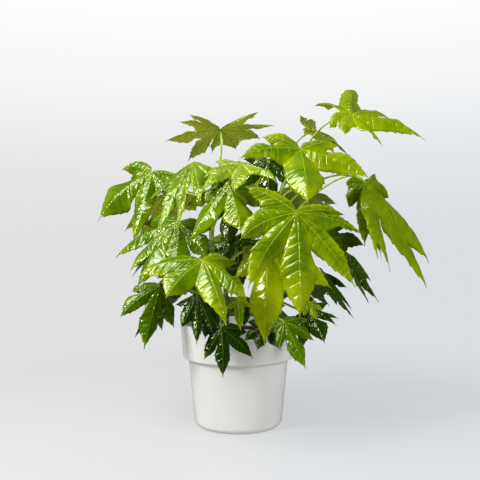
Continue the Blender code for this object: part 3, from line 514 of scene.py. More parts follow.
LEAVES = (
    # The great light leaf at the front right, the one below it, and the young leaf at the front left
    leaf("F", "young", 1, 0.30, (0.092, -0.170, 0.376), (0.093, -0.213, 0.212), (0.198, -0.150, 0.340),
         droop=0.5, cone=(3, 9), detail="fine", tone=0.45, change={-3: (-6, 1.16, 0.99, 0.91),
         -2: (11, 0.95, 1.01, 0.96), -1: (4, 1.03, 1, 0.75), 0: (0, 0.99, 1, 0.99), 1: (1, 0.99, 1, 0.62),
         2: (7, 1.02, 1, 0.39), 3: (-16, 1.05, 1, 0.56)}),
    leaf("G", "young", 0, 0.27, (0.049, -0.120, 0.317), (0.041, -0.160, 0.164), (0.120, -0.129, 0.302),
         lobes=5, droop=0.3, cone=(-3, 30), width=0.19, tone=0.95, change={-2: (0, 0.5, 1, 0.8),
         -1: (0, 0.55, 1, 0.77), 0: (0, 1, 1, 0.9), 1: (16, 0.93, 1, 0.68), 2: (0, 0.8, 1, 0.79)}),
    leaf("H", "young", 0, 0.245, (-0.054, -0.190, 0.302), (-0.016, -0.257, 0.208), (-0.159, -0.221, 0.311),
         lobes=5, droop=0.7, cone=(6, 25), detail="fine", notch=0.42, width=0.20, tone=0.4,
         change={-2: (4, 1.57, 0.96, 0.97), -1: (-6, 0.86, 1, 1.14), 0: (0, 0.99, 1, 0.73),
         1: (-11, 0.91, 1.01, 0.91), 2: (-1, 0.99, 1, 0.94)}),
    # The middle of the front, and the shiny pair behind it
    leaf("K", "grown", 0, 0.35, (-0.015, -0.140, 0.419), (-0.075, -0.168, 0.328), (0.002, -0.183, 0.342),
         lobes=5, droop=0.6, cone=(-2, 34), tone=0.45, change={-2: (0, 1.05, 1, 1.02),
         -1: (7, 0.8, 1.02, 0.93), 0: (-1, 0.99, 1, 0.85), 1: (3, 0.84, 1, 1.45), 2: (0, 1.1, 1, 1.01)}),
    leaf("L", "shiny", 0, 0.365, (0.003, -0.105, 0.462), (-0.058, -0.156, 0.409), (0.063, -0.152, 0.436),
         droop=0.7, cone=(-16, 31), tone=0.95, change={-3: (0, 0.6, 1, 0.66), -2: (-11, 0.9, 1, 0.67),
         -1: (14, 0.82, 1.03, 0.74), 0: (-2, 0.99, 1, 0.65), 1: (-1, 0.94, 1, 1.03),
         2: (13, 1.23, 0.98, 0.6), 3: (0, 0.7, 1, 0.5)}),
    leaf("J", "shiny", 2, 0.41, (-0.079, -0.080, 0.468), (-0.096, -0.175, 0.350), (-0.141, -0.109, 0.405),
         droop=0.6, cone=(6, 55), fold=0.7, tone=0.6, change={-3: (0, 0.6, 1, 0.88), -2: (3, 1.08, 0.6, 0.7),
         -1: (24, 1.28, 1.01, 0.37), 0: (0, 0.99, 1, 0.38), 1: (-21, 0.75, 1, 0.58),
         2: (0, 0.6, 1, 0.8), 3: (0, 0.6, 1, 0.8)}),
    # The crown: the broad light leaf, the left one seen from its edge, and the far right ones
    leaf("D", "young", 1, 0.38, (0.108, -0.060, 0.494), (0.112, -0.151, 0.389), (0.229, -0.072, 0.446),
         lobes=5, droop=0.7, cone=(-18, 10), detail="fine", tone=0.5, change={-2: (-8, 0.86, 1.02, 0.9),
         -1: (-21, 1.03, 0.99, 0.69), 0: (0, 0.98, 1, 1.16), 1: (17, 1.14, 0.98, 0.69),
         2: (7, 1.04, 1, 0.77)}),
    leaf("A", "grown", 0, 0.40, (-0.034, 0.000, 0.539), (-0.054, 0.116, 0.514), (-0.164, 0.001, 0.528),
         lobes=9, droop=0.35, cone=(0, -6), change={-4: (0, 1.6, 1, 1), -3: (3, 1.47, 0.99, 1.01),
         -2: (0, 1, 1, 1.06), -1: (8, 1.04, 1, 0.86), 0: (0, 1, 1, 0.44), 1: (-15, 1.49, 1.01, 0.51),
         2: (-3, 1.17, 1, 0.93), 3: (13, 1.02, 0.99, 0.73), 4: (0, 1.5, 1, 0.66)}),
    leaf("B", "grown", 3, 0.41, (0.208, 0.000, 0.568), (0.345, 0.002, 0.520), (0.180, -0.090, 0.505),
         droop=0.9, cone=(-15, 20), detail="fine", tone=0.9, change={-3: (-2, 0.97, 1, 0.88),
         -2: (-17, 0.82, 1, 0.75), -1: (-12, 0.78, 1.02, 0.74), 0: (1, 1, 1, 0.55),
         1: (-4, 0.73, 1.03, 0.62), 2: (15, 1.5, 1, 0.63), 3: (22, 1.44, 0.94, 0.81)}),
    leaf("C", "grown", 3, 0.395, (0.145, 0.090, 0.554), (0.218, 0.087, 0.504), (0.115, 0.029, 0.575),
         droop=0.8, cone=(15, -8), tone=0.55, change={-3: (-16, 1.14, 0.96, 1.14),
         -2: (-21, 1.36, 0.97, 0.65), 0: (-5, 1.01, 0.98, 1.02), 2: (23, 1.25, 0.98, 0.38),
         3: (0, 1, 1, 0.46)}),
    # The right side, where two stalks reach out and the large leaf hangs down
    leaf("E1", "grown", 3, 0.34, (0.239, 0.035, 0.448), (0.238, 0.025, 0.323), (0.171, 0.012, 0.446),
         lobes=5, droop=0.5, cone=(3, 12), tone=0.6, change={-2: (14, 0.55, 1, 0.9), -1: (14, 0.62, 1, 1),
         0: (0, 0.99, 1, 0.65), 1: (-35, 1.4, 1, 0.5), 2: (-18, 0.5, 1, 0.8)}),
    leaf("E2", "grown", 1, 0.36, (0.236, -0.018, 0.436), (0.346, 0.003, 0.244), (0.300, 0.050, 0.472),
         droop=0.58, cone=(-20, -6), notch=0.28, tone=0.75, change={-3: (20, 0.3, 1, 0.7),
         -2: (32, 0.95, 0.93, 0.6), -1: (6, 0.82, 0.98, 0.75), 0: (2, 1, 1, 0.85),
         1: (-20, 0.98, 1.01, 0.75), 2: (-35, 0.4, 1, 0.7), 3: (0, 0.25, 1, 0.7)}),
    leaf("T", "old", 3, 0.28, (0.155, -0.060, 0.336), (0.234, -0.108, 0.229), (0.213, -0.032, 0.305),
         droop=0.6, cone=(-33, 10), tone=0.6, change={-3: (0, 0.7, 1, 1), -2: (0, 0.7, 1, 1),
         -1: (19, 1.21, 0.97, 0.45), 0: (1, 0.99, 1, 0.43), 1: (-16, 0.82, 1.03, 0.84),
         2: (3, 1.15, 0.99, 0.77), 3: (-13, 1.28, 0.99, 0.72)}),
    leaf("S", "old", 1, 0.25, (0.143, -0.094, 0.279), (0.190, -0.103, 0.216), (0.185, -0.077, 0.244),
         lobes=5, droop=0.5, cone=(-8, 32), notch=0.42, change={-2: (0, 0.7, 1, 1), -1: (15, 0.83, 0.99, 0.8),
         0: (1, 1, 1, 0.79), 1: (5, 1.05, 0.99, 0.73), 2: (0, 0.7, 1, 1)}),
    # The left side
    leaf("I", "grown", 2, 0.40, (-0.158, -0.016, 0.457), (-0.183, -0.067, 0.329), (-0.255, -0.006, 0.449),
         lobes=5, droop=0.7, cone=(-2, 28), detail="fine", width=0.18, tone=0.35,
         change={-2: (-3, 1.05, 1, 0.88), -1: (10, 1.14, 1, 1.28), 0: (0, 0.98, 1, 0.71),
         1: (0, 0.5, 1, 0.7), 2: (0, 0.6, 1, 0.8)}),
    leaf("V", "grown", 0, 0.30, (-0.100, -0.106, 0.364), (-0.159, -0.165, 0.255), (-0.055, -0.164, 0.313),
         droop=0.6, cone=(2, 32), tone=0.3, change={-3: (20, 1.61, 0.97, 0.7), -2: (30, 1.37, 1.01, 0.85),
         -1: (21, 1.02, 1.02, 0.8), 0: (-1, 0.99, 1, 1.1), 1: (-12, 1.0, 1, 1.0),
         2: (-15, 0.97, 1.01, 1.12), 3: (1, 0.87, 1.01, 1.33)}),
    leaf("M", "grown", 0, 0.22, (-0.133, -0.090, 0.256), (-0.156, -0.115, 0.152), (-0.190, -0.134, 0.207),
         droop=0.5, cone=(21, 46), tone=0.1, change={-3: (0, 0.6, 1, 0.88), -2: (-1, 0.66, 1.02, 0.9),
         -1: (-5, 0.95, 1, 0.86), 0: (0, 0.99, 1, 0.85), 1: (-13, 0.85, 1, 0.85),
         2: (-25, 1.17, 1.01, 0.92), 3: (0, 0.6, 1, 1)}),
    # The low leaves that hang before the pot, and the two smallest
    leaf("N", "old", 0, 0.20, (-0.066, -0.140, 0.243), (-0.065, -0.167, 0.168), (-0.103, -0.157, 0.202),
         lobes=5, droop=0.5, cone=(28, 42), tone=0.05, change={-2: (0, 0.99, 1, 1.21),
         -1: (18, 0.86, 1.01, 0.86), 0: (0, 0.99, 1, 0.53), 1: (-21, 0.95, 1.01, 0.83),
         2: (2, 0.88, 1, 1.42)}),
    leaf("O", "old", 0, 0.225, (-0.027, -0.150, 0.192), (-0.024, -0.155, 0.115), (0.025, -0.153, 0.143),
         lobes=5, droop=0.4, cone=(15, 43), arrive=(0.8, 0.6), tone=0.2, change={-2: (-2, 0.91, 1, 1.46),
         -1: (12, 0.84, 1, 0.79), 0: (0, 1, 1, 0.77), 1: (1, 1.09, 1, 0.78), 2: (-13, 1.16, 1, 0.99)}),
    leaf("P", "old", 1, 0.20, (0.045, -0.126, 0.196), (0.030, -0.160, 0.157), (0.071, -0.133, 0.189),
         lobes=5, droop=0.3, cone=(-6, 31), change={-2: (4, 1.1, 1, 1.0), -1: (12, 1.07, 1, 0.79),
         0: (0, 0.99, 1, 0.95), 1: (-5, 1.25, 1, 1.04), 2: (0, 1.22, 1, 1.27)}),
    leaf("Q", "grown", 1, 0.222, (0.073, -0.160, 0.204), (0.105, -0.180, 0.133), (0.129, -0.145, 0.177),
         lobes=5, droop=0.4, cone=(12, 28), width=0.20, tone=0.05, change={-2: (13, 0.66, 1.01, 1.14),
         -1: (9, 0.76, 1, 0.72), 0: (0, 1, 1, 0.89), 1: (-3, 0.89, 1.01, 0.77),
         2: (-13, 1.36, 0.99, 0.63)}),
    leaf("R", "old", 1, 0.22, (0.114, -0.100, 0.216), (0.162, -0.122, 0.192), (0.127, -0.136, 0.165),
         droop=0.6, cone=(21, 18), change={-3: (3, 1.54, 0.99, 1.12), -2: (2, 1.66, 1, 0.97),
         -1: (2, 1.4, 0.99, 1.37), 0: (1, 1, 1, 0.45), 1: (-20, 1.09, 1.01, 0.54),
         2: (-17, 1.15, 1, 1.15), 3: (-4, 1.52, 0.98, 0.96)}),
    leaf("star", "young", 1, 0.235, (0.117, -0.140, 0.231), (0.125, -0.150, 0.205), (0.140, -0.140, 0.225),
         lobes=5, droop=0.3, detail="coarse", stalk=0.0009),
    leaf("Y1", "young", 0, 0.200, (0.000, -0.168, 0.240), (0.004, -0.170, 0.190), (0.020, -0.168, 0.236),
         lobes=5, droop=0.2, detail="coarse", stalk=0.0009, width=0.14,
         change={-2: (0, 0.6, 1, 1), -1: (-8, 0.6, 1, 1), 1: (8, 0.6, 1, 1), 2: (0, 0.6, 1, 1)}),
    # Three in the shade, two of them behind the low leaves and one among the stems
    leaf("X2", "old", 0, 0.185, (-0.047, -0.114, 0.222), (-0.054, -0.132, 0.172), (-0.007, -0.112, 0.212),
         lobes=5, droop=0.4, width=0.20,
         change={-2: (0, 0.55, 1, 1), -1: (0, 0.85, 1, 1), 1: (0, 0.85, 1, 1), 2: (0, 0.55, 1, 1)}),
    leaf("X3", "old", 1, 0.185, (0.010, -0.094, 0.234), (0.010, -0.109, 0.188), (0.051, -0.092, 0.224),
         lobes=5, droop=0.4, width=0.20, detail="coarse",
         change={-2: (0, 0.7, 1, 1), -1: (0, 0.8, 1, 1), 2: (0, 0.7, 1, 1)}),
    leaf("W", "old", 0, 0.24, (-0.002, -0.012, 0.335), (0.000, -0.038, 0.235), (0.060, -0.015, 0.320),
         droop=0.5),
    # The back and its two sides
    leaf("bk1", "grown", 2, 0.38, (-0.140, 0.090, 0.430), (-0.213, 0.141, 0.322), (-0.190, 0.016, 0.430)),
    leaf("bk2", "grown", 2, 0.42, (-0.005, 0.130, 0.480), (-0.014, 0.235, 0.385), (-0.095, 0.130, 0.480),
         droop=0.7),
    leaf("bk3", "young", 3, 0.375, (0.130, 0.140, 0.440), (0.190, 0.210, 0.335), (0.200, 0.080, 0.445)),
    leaf("bk4", "old", 2, 0.26, (-0.110, 0.120, 0.290), (-0.158, 0.177, 0.184), (-0.180, 0.060, 0.290),
         droop=0.5),
    leaf("bk5", "grown", 2, 0.31, (-0.010, 0.170, 0.340), (-0.016, 0.245, 0.210), (-0.100, 0.170, 0.340),
         droop=0.5),
    leaf("bk6", "old", 3, 0.25, (0.110, 0.130, 0.280), (0.163, 0.183, 0.174), (0.170, 0.070, 0.280),
         droop=0.5),
    leaf("bk7", "old", 2, 0.20, (-0.050, 0.150, 0.215), (-0.060, 0.187, 0.133), (-0.110, 0.135, 0.215),
         lobes=5, droop=0.3, detail="coarse"),
    leaf("bk8", "old", 3, 0.20, (0.060, 0.150, 0.210), (0.073, 0.186, 0.129), (0.120, 0.130, 0.210),
         lobes=5, droop=0.3, detail="coarse"),
    leaf("bk9", "old", 3, 0.22, (0.170, 0.030, 0.250), (0.218, 0.036, 0.188), (0.165, 0.100, 0.250),
         droop=0.5),
    leaf("bk10", "old", 2, 0.30, (-0.140, 0.040, 0.345), (-0.205, 0.050, 0.265), (-0.150, -0.040, 0.345),
         droop=0.5),
    leaf("bk11", "old", 2, 0.20, (-0.150, 0.040, 0.235), (-0.199, 0.049, 0.149), (-0.160, -0.020, 0.235),
         lobes=5, droop=0.5, detail="coarse"),
    # Two more in the shade, behind the crown and among the stems
    leaf("Z2", "old", 3, 0.35, (0.055, 0.002, 0.482), (0.052, -0.012, 0.398), (0.120, -0.004, 0.470),
         lobes=5, droop=0.5, cone=(0, 20), detail="coarse"),
    leaf("Z3", "old", 2, 0.36, (-0.012, 0.000, 0.408), (-0.022, -0.022, 0.322), (-0.070, -0.006, 0.388),
         lobes=5, droop=0.4, cone=(0, 0), detail="coarse",
         change={-2: (0, 0.7, 1, 1), 2: (0, 0.7, 1, 1)}),
)


def smooth(x):
    """Rises from 0 to 1 with level ends."""
    x = np.clip(x, 0.0, 1.0)
    return x * x * (3 - 2 * x)


def swing(frame, axis, angle):
    """Turns every vector of a frame about an axis."""
    turn = Matrix.Rotation(angle, 3, axis)
    return [turn @ vector for vector in frame]


class Palm:
    """The form of one leaf. forward runs along the middle lobe, side across it, and normal out of the upper
    face. Each lobe has a midrib, which droops and curves as it goes, and its two halves hang from it."""

    def __init__(self, row):
        self.row = row
        self.hub = row["hub"]
        reach, wing = row["tip"] - self.hub, row["wing"] - self.hub
        self.length = reach.length * (1 + ARCH_ALLOWANCE * row["droop"] ** 2)
        self.forward = reach.normalized()
        self.side = (wing - self.forward * wing.dot(self.forward)).normalized()
        self.normal = self.forward.cross(self.side)
        if self.normal.dot(self.hub - PLANT_CENTRE) < 0:
            self.side, self.normal = -self.side, -self.normal
        self.cone = [math.radians(angle) for angle in row["cone"]]
        self.forward, self.normal = swing((self.forward, self.normal), self.side, -self.cone[0])
        self.width = row["width"] or HALF_WIDTH[row["lobes"]]
        self.add_lobes(random.Random(row["mark"]))
        self.small = random.Random(row["mark"] + " teeth")
        many = PALM_VEINS + VEINS[row["detail"]] + 1
        self.puffs = [[self.small.uniform(*PUFF_RANGE) for _ in range(many)] for _ in self.angles]

    def add_lobes(self, draw):
        """Works out every lobe from one side to the other, each a little different."""
        plan = PALMS[self.row["lobes"]]
        both_sides = [(-angle, share) for angle, share in reversed(plan[1:])] + list(plan)
        self.angles, self.shares, self.widths, self.ribs, self.phases = [], [], [], [], []
        for k, (angle, share) in enumerate(both_sides):
            lobe = k - len(plan) + 1
            if lobe:
                angle += draw.uniform(-SPREAD_IN_ANGLE, SPREAD_IN_ANGLE)
                share *= draw.uniform(1 - SPREAD_IN_LENGTH, 1 + SPREAD_IN_LENGTH)
            droop = self.row["droop"] * draw.uniform(1 - SPREAD_IN_DROOP, 1 + SPREAD_IN_DROOP)
            turn, longer, lower, wider = self.row["change"].get(lobe, (0, 1, 1, 1))
            angle, share, droop = angle + turn, share * longer, droop * lower
            bend = SWAY * (draw.uniform(-1, 1) - angle / OUTER_ANGLE)
            phases = draw.uniform(0, math.tau), draw.uniform(0, math.tau)
            twist = TWIST * math.cos(phases[0])
            self.angles.append(math.radians(angle))
            self.shares.append(share)
            self.widths.append(self.width * wider)
            self.ribs.append(self.midrib(math.radians(angle), self.length * share, droop, bend, twist))
            self.phases.append(phases)

    def midrib(self, angle, length, droop, bend, twist):
        """Points down one lobe with the directions across and up at each, and one row more at both ends."""
        along = self.forward * math.cos(angle) + self.side * math.sin(angle)
        across = self.normal.cross(along)
        fall = self.cone[0] + (self.cone[1] - self.cone[0]) * (math.degrees(angle) / OUTER_ANGLE) ** 2
        frame = swing((along, across, self.normal), across, fall)
        lean = frame[0].cross(DOWN)
        frame = swing(frame, frame[2], -bend / 2)
        frame = swing(frame, lean, -FIRST_LIFT * droop * lean.length)
        point = self.hub.copy()
        rows = [(point, frame[1], frame[2])]
        for k in range(RIB_STEPS):
            lean = frame[0].cross(DOWN)
            frame = swing(frame, lean, 2 * droop * lean.length * (k + 0.5) / RIB_STEPS ** 2)
            frame = swing(frame, frame[2], bend / RIB_STEPS)
            frame = swing(frame, frame[0], twist / RIB_STEPS)
            point = point + frame[0] * length / RIB_STEPS
            rows.append((point, frame[1], frame[2]))
        rows = np.array(rows)
        return np.concatenate((2 * rows[:1] - rows[1:2], rows, 2 * rows[-1:] - rows[-2:-1]))

    def on_rib(self, lobe, down, out, up):
        """Points so far down a lobe's midrib, out across it and up from it, on a smooth curve."""
        place = np.clip(down / (self.length * self.shares[lobe]), 0, 1) * RIB_STEPS
        k = np.minimum(place.astype(int), RIB_STEPS - 1)
        t = (place - k)[..., None, None]
        a, b, c, d = (self.ribs[lobe][k + j] for j in range(4))
        rows = b + (c - a) * t / 2 + (a - 2.5 * b + 2 * c - d / 2) * t ** 2
        rows = rows + (1.5 * (b - c) + (d - a) / 2) * t ** 3
        return rows[..., 0, :] + rows[..., 1, :] * out[..., None] + rows[..., 2, :] * up[..., None]

    def notch(self, lobe, side):
        """How far the notch beside a lobe lies from the hub, half the angle to the next lobe, and whether
        there is a next lobe."""
        beside = lobe + side
        if 0 <= beside < len(self.angles):
            share = min(self.shares[lobe], self.shares[beside])
            half = abs(self.angles[beside] - self.angles[lobe]) / 2
            return self.row["notch"] * self.length * (NOTCH_BASE + (1 - NOTCH_BASE) * share), half, True
        return OUTER_FLANK[0] * self.length * self.shares[lobe], OUTER_FLANK[1], False

    def edge(self, lobe, side, w, tooth):
        """The edge of a lobe at places between its notch, 0, and its tip, 1: down the midrib and out."""
        reach, half, _ = self.notch(lobe, side)
        length = self.length * self.shares[lobe]
        start, out = reach * math.cos(half), reach * math.sin(half)
        widest = self.widths[lobe] * length
        past = np.clip((w - WIDEST_PLACE) / (1 - WIDEST_PLACE), 0, 1)
        taper = (1 - np.minimum(past / TIP_START, 1) ** TIP_TAPER[0]) ** TIP_TAPER[1]
        tip = widest * (taper + DRAWN_TIP * (1 - past - taper))
        out = np.where(w < WIDEST_PLACE, out + (widest - out) * smooth(w / WIDEST_PLACE), tip)
        return start + (length - start) * w + TOOTH_LEAN * tooth * length, out + tooth * length

    def rib_place(self, lobe, w):
        """How far down the midrib the side veins of both halves leave it."""
        length = self.length * self.shares[lobe]
        both = [self.edge(lobe, side, w, 0.0) for side in (1, -1)]
        return sum(np.minimum(down - VEIN_RAKE * out, length) for down, out in both) / 2

    def half_lobe(self, lobe, side, w, veins, tooth, v):
        """A grid of points. w goes by row from the hub, -1, past the notch, 0, to the tip, 1, and v by column
        from the midrib, 0, to the edge, 1, along the side veins, whole numbers in veins."""
        _, half, shared = self.notch(lobe, side)
        length = self.length * self.shares[lobe]
        beyond, k = np.maximum(w, 0.0), np.minimum(w + 1, 1.0)
        edge_down, edge_out = (part * k for part in self.edge(lobe, side, beyond, tooth))
        rib_down = self.rib_place(lobe, beyond) * k
        fade = 1 - smooth(w / BLEND_REACH)
        phase = self.phases[lobe][(1 - side) // 2]
        swell = length * smooth(w / WAVE_START) * (1 - beyond)
        wave = WAVE * swell * np.sin(phase + WAVE_RATE * beyond) * v * v
        ruffle = RUFFLE * swell * np.sin(phase * 3 + RUFFLE_RATE * beyond) * v ** 3
        down, out = rib_down + (edge_down - rib_down) * v, edge_out * v
        strength = np.interp(veins, np.arange(len(self.puffs[lobe])), self.puffs[lobe])
        puff = strength * np.abs(np.sin(math.pi * veins)) ** QUILT_ROUNDNESS[0]
        puff = puff * np.sin(math.pi * v) ** QUILT_ROUNDNESS[1]
        quilt = QUILT * length * puff * smooth((w + 1) * 2) * (1 - QUILT_LOSS_AT_TIP * beyond)
        groove = RIB_GROOVE * np.exp(-(out / RIB_GROOVE_REACH) ** 2) * (1 - beyond)
        fold = FOLD * self.row["fold"]
        up = fold * out + EDGE_ROLL * out * v * v + wave + ruffle + quilt - groove
        at = self.on_rib(lobe, down, out * side, up)
        if shared:
            far, turn = np.hypot(down, out), 2 * half - np.arctan2(out, down)
            other = self.on_rib(lobe + side, far * np.cos(turn), -side * far * np.sin(turn), up)
            at = at + (other - at) * (0.5 * fade * smooth(v))[..., None]
        rib = RIB_HALF_WIDTH[0] + (RIB_HALF_WIDTH[1] - RIB_HALF_WIDTH[0]) * np.clip(down / length, 0, 1)
        return at, out / rib

    def rows(self):
        """Places of the grid's rows with, for each, its count of veins and the size of its tooth."""
        many = VEINS[self.row["detail"]]
        palm = [((k + f) / PALM_VEINS - 1, k + f) for k in range(PALM_VEINS) for f in PALM_ROWS]
        lobe = [((k + f) / many, PALM_VEINS + k + f) for k in range(many) for f in TOOTH_ROWS]
        table = palm + lobe + [(1.0, PALM_VEINS + many)]
        teeth = []
        size = 0.0
        for w, veins in table:
            rise = (veins - 0.1) % 1.0 / 0.9
            if w <= 0:
                size = 0.0
            elif abs(veins % 1.0 - TOOTH_ROWS[1]) < 0.01:
                size = self.small.uniform(*TOOTH_SIZES)
            ease = min(1, max(0, (w - 0.1) * 4)) * (1 - w) ** 0.4 if w > 0 else 0.0
            teeth.append(TOOTH * size * rise ** 1.6 * ease)
        w, veins = np.array(table).T
        return w[:, None], veins[:, None], np.array(teeth)[:, None]

    def sheet(self):
        """The blade as one open grid of faces, with what its finish reads at each point."""
        columns = COLUMNS.get(self.row["detail"], COLUMNS["plain"])
        v = np.array(columns)[None, :]
        points, places, gaps, faces, start = [], [], [], [], 0
        for lobe in range(len(self.angles)):
            for side in (1, -1):
                w, veins, tooth = self.rows()
                at, gap = self.half_lobe(lobe, side, w, veins, tooth, v)
                count = len(w)
                points.append(at.reshape(-1, 3))
                gaps.append(np.broadcast_to(gap, (count, len(columns))).ravel())
                places.append(np.stack(np.broadcast_arrays(veins, v, w), axis=-1).reshape(-1, 3))
                number = start + np.arange(count * len(columns)).reshape(count, -1)
                corner = [number[:-1, :-1], number[1:, :-1], number[1:, 1:], number[:-1, 1:]]
                faces.append(np.stack(corner[::side], axis=-1).reshape(-1, 4))
                start += number.size
        return np.concatenate(points), np.concatenate(faces), np.concatenate(places), np.concatenate(gaps)

    def stalk_line(self):
        """Points from the stem, up and out, to the hub, where the stalk meets the blade from below."""
        ground, top = STEMS[self.row["stem"]]
        middle = ground.lerp(top, (self.row["joint"] - ground.z) / (top.z - ground.z))
        out = ((self.hub - middle) * Vector((1, 1, 0))).normalized()
        end_radius = STALK_SWELLING * self.row["stalk"]
        start = middle + out * (STEM_RADIUS + end_radius * STALK_RISE[1])
        handle = (self.hub - start).length * STALK_BOW
        leave = (out * STALK_RISE[0] + Vector((0, 0, STALK_RISE[1]))).normalized()
        ahead, above = self.row["arrive"]
        meet = (self.forward * ahead + self.normal * above).normalized()
        bends = (start, start + leave * handle, self.hub - meet * handle, self.hub - self.normal * HUB_DEPTH)
        return [bezier(bends, k / STALK_STEPS) for k in range(STALK_STEPS + 1)]

    def stalk_radii(self):
        """Broad where the stalk clasps the stem, thin along its middle, and a little swollen at the hub."""
        thick = self.row["stalk"]
        radii = []
        for k in range(STALK_STEPS + 1):
            t = k / STALK_STEPS
            clasp = STALK_CLASP[0] * math.exp(-(t / STALK_CLASP[1]) ** 2)
            knuckle = STALK_KNUCKLE[0] * math.exp(-((1 - t) / STALK_KNUCKLE[1]) ** 2)
            neck = STALK_NECK[0] * math.exp(-((1 - t) / STALK_NECK[1]) ** 2)
            radii.append(thick * (STALK_SWELLING + (1 - STALK_SWELLING) * t + clasp + (knuckle - neck)))
        return radii


def bezier(bends, t):
    """A point of the cubic curve with four control points."""
    shares = ((1 - t) ** 3, 3 * (1 - t) ** 2 * t, 3 * (1 - t) * t * t, t ** 3)
    return sum((bend * share for bend, share in zip(bends, shares)), Vector((0, 0, 0)))


# Colours by age: deep and light parts of the upper face, its veins, and the under face, then the stalks
GREENS = {
    "young": ((0.050, 0.115, 0.000), (0.262, 0.318, 0.000), (0.310, 0.365, 0.010), (0.200, 0.280, 0.005)),
    # Painted light: the grown leaves' under face is far lighter than their upper face, standing in for light
    # shining through the leaf.
    "grown": ((0.032, 0.092, 0.000), (0.190, 0.257, 0.000), (0.250, 0.325, 0.010), (0.560, 0.610, 0.010)),
    "shiny": ((0.036, 0.098, 0.001), (0.192, 0.262, 0.008), (0.255, 0.325, 0.035), (0.150, 0.240, 0.012)),
    # Painted shade: these darkest greens belong to leaves that hang low, at the back and inside the plant;
    # they are darker than age alone makes them, to stand in for the shade there, and so are their stalks'
    # greens.
    "old": ((0.003, 0.018, 0.000), (0.030, 0.070, 0.001), (0.070, 0.140, 0.008), (0.060, 0.120, 0.006)),
}
STALK_GREENS = {"young": (0.380, 0.500, 0.030), "grown": (0.280, 0.430, 0.030),
                "shiny": (0.280, 0.430, 0.030), "old": (0.120, 0.240, 0.025)}
STALK_DARKER = 0.62
GLOSS = {"young": 0.07, "grown": 0.075, "shiny": 0.07, "old": 0.09}
SKIN_IOR = 1.60
SKIN_SHEEN = (0.95, 1.0, 0.60, 1.0)
CLOUD_SCALE = 22.0
NET_SCALE = 210.0
PUCKERS = (2.0, 1.5)
PUCKER_SCALE = (18.0, 18.0, 18.0)


def vein_masks(tree):
    """The midrib and the side veins as masks, and the readings that they come from."""
    blade = tree.carried("blade", "Vector")
    veins, across, along = (blade.part(k) for k in range(3))
    midrib = tree.carried("rib_gap").ramp(1.6, 0.5)
    side_vein = veins.from_whole().ramp(0.075, 0.015) * across.ramp(1.0, 0.5, 0.35, 1.0)
    return midrib, side_vein, veins, across, along


def fine_net(tree, place, width):
    """The net between the side veins: 0 on its lines and 1 inside its cells."""
    net = tree.add("TexVoronoi", {"feature": "DISTANCE_TO_EDGE"}, {"Vector": place, "Scale": NET_SCALE})
    return net.ramp(0.0, width)


def upper_face(age):
    """Glossy skin: deeper green along the middle of a lobe, lighter to its margin and tip, lighter or darker
    as a whole with the leaf's painted light and shade, with pale veins, a faint fine net, and soft puckers
    that break up what it mirrors."""
    deep, light, vein, _ = ((*colour, 1.0) for colour in GREENS[age])
    material, tree, sockets = new_material(f"leaf_{age}_upper")
    place = tree.place()
    midrib, side_vein, veins, across, along = vein_masks(tree)
    cloud = place.noise(CLOUD_SCALE, 3.0)
    cells = fine_net(tree, place, 0.30)
    spread = tree.add("CombineXYZ", {}, {0: veins * PUCKERS[0], 1: across * PUCKERS[1]})
    shifted = tree.add("VectorMath", {"operation": "MULTIPLY_ADD"}, {0: place, 1: PUCKER_SCALE, 2: spread})
    pucker = shifted.noise(1.0, 1.0, 0.35)
    # Painted light and shade: each leaf's tone setting moves its whole face toward the light or the deep
    # colour.
    light_share = tree.carried("tone") - 0.6 + cloud.ramp(0.3, 0.7) * 0.45
    light_share = light_share + across.ramp(0.2, 1.0) * 0.35 + along.ramp(0.3, 1.0) * 0.35
    skin = light_share.mix(deep, light)
    lines = (midrib * 0.6).most(side_vein * 0.22).most((1 - cells) * 0.10)
    bump = (pucker * 0.9 + cells * 0.02 - side_vein * 0.12 - midrib * 0.15).bump(0.8, 0.0028)
    feed(tree, sockets, base_color=lines.mix(skin, vein),
         roughness=cloud.ramp(0.3, 0.75, GLOSS[age], GLOSS[age] + 0.07),
         normal=bump, ior=SKIN_IOR, specular_tint=SKIN_SHEEN)
    return material


def under_face(age):
    """The under face: one even green with veins that stand out from it, duller than the upper face, except on
    grown leaves, where it is far lighter to paint the light shining through them.
    """
    *_, vein, under = ((*colour, 1.0) for colour in GREENS[age])
    material, tree, sockets = new_material(f"leaf_{age}_under")
    midrib, side_vein, *_ = vein_masks(tree)
    cells = fine_net(tree, tree.place(), 0.25)
    lines = midrib.most(side_vein * 0.8).most((1 - cells) * 0.35)
    bump = (side_vein * 0.4 + midrib * 0.6 - cells * 0.2).bump(0.6, 0.0012)
    feed(tree, sockets, base_color=lines.mix(under, vein), roughness=cells.ramp(0, 1, 0.62, 0.5), normal=bump)
    return material


def stalk_skin(age):
    """Green stalk with darker patches."""
    green = (*STALK_GREENS[age], 1.0)
    darker = (*(part * STALK_DARKER for part in STALK_GREENS[age]), 1.0)
    material, tree, sockets = new_material(f"stalk_{age}")
    patch = tree.place().noise(120.0, 3.0)
    feed(tree, sockets, base_color=patch.ramp(0.35, 0.7).mix(green, darker),
         roughness=patch.ramp(0.3, 0.7, 0.3, 0.42), normal=patch.bump(0.3, 0.0004))
    return material


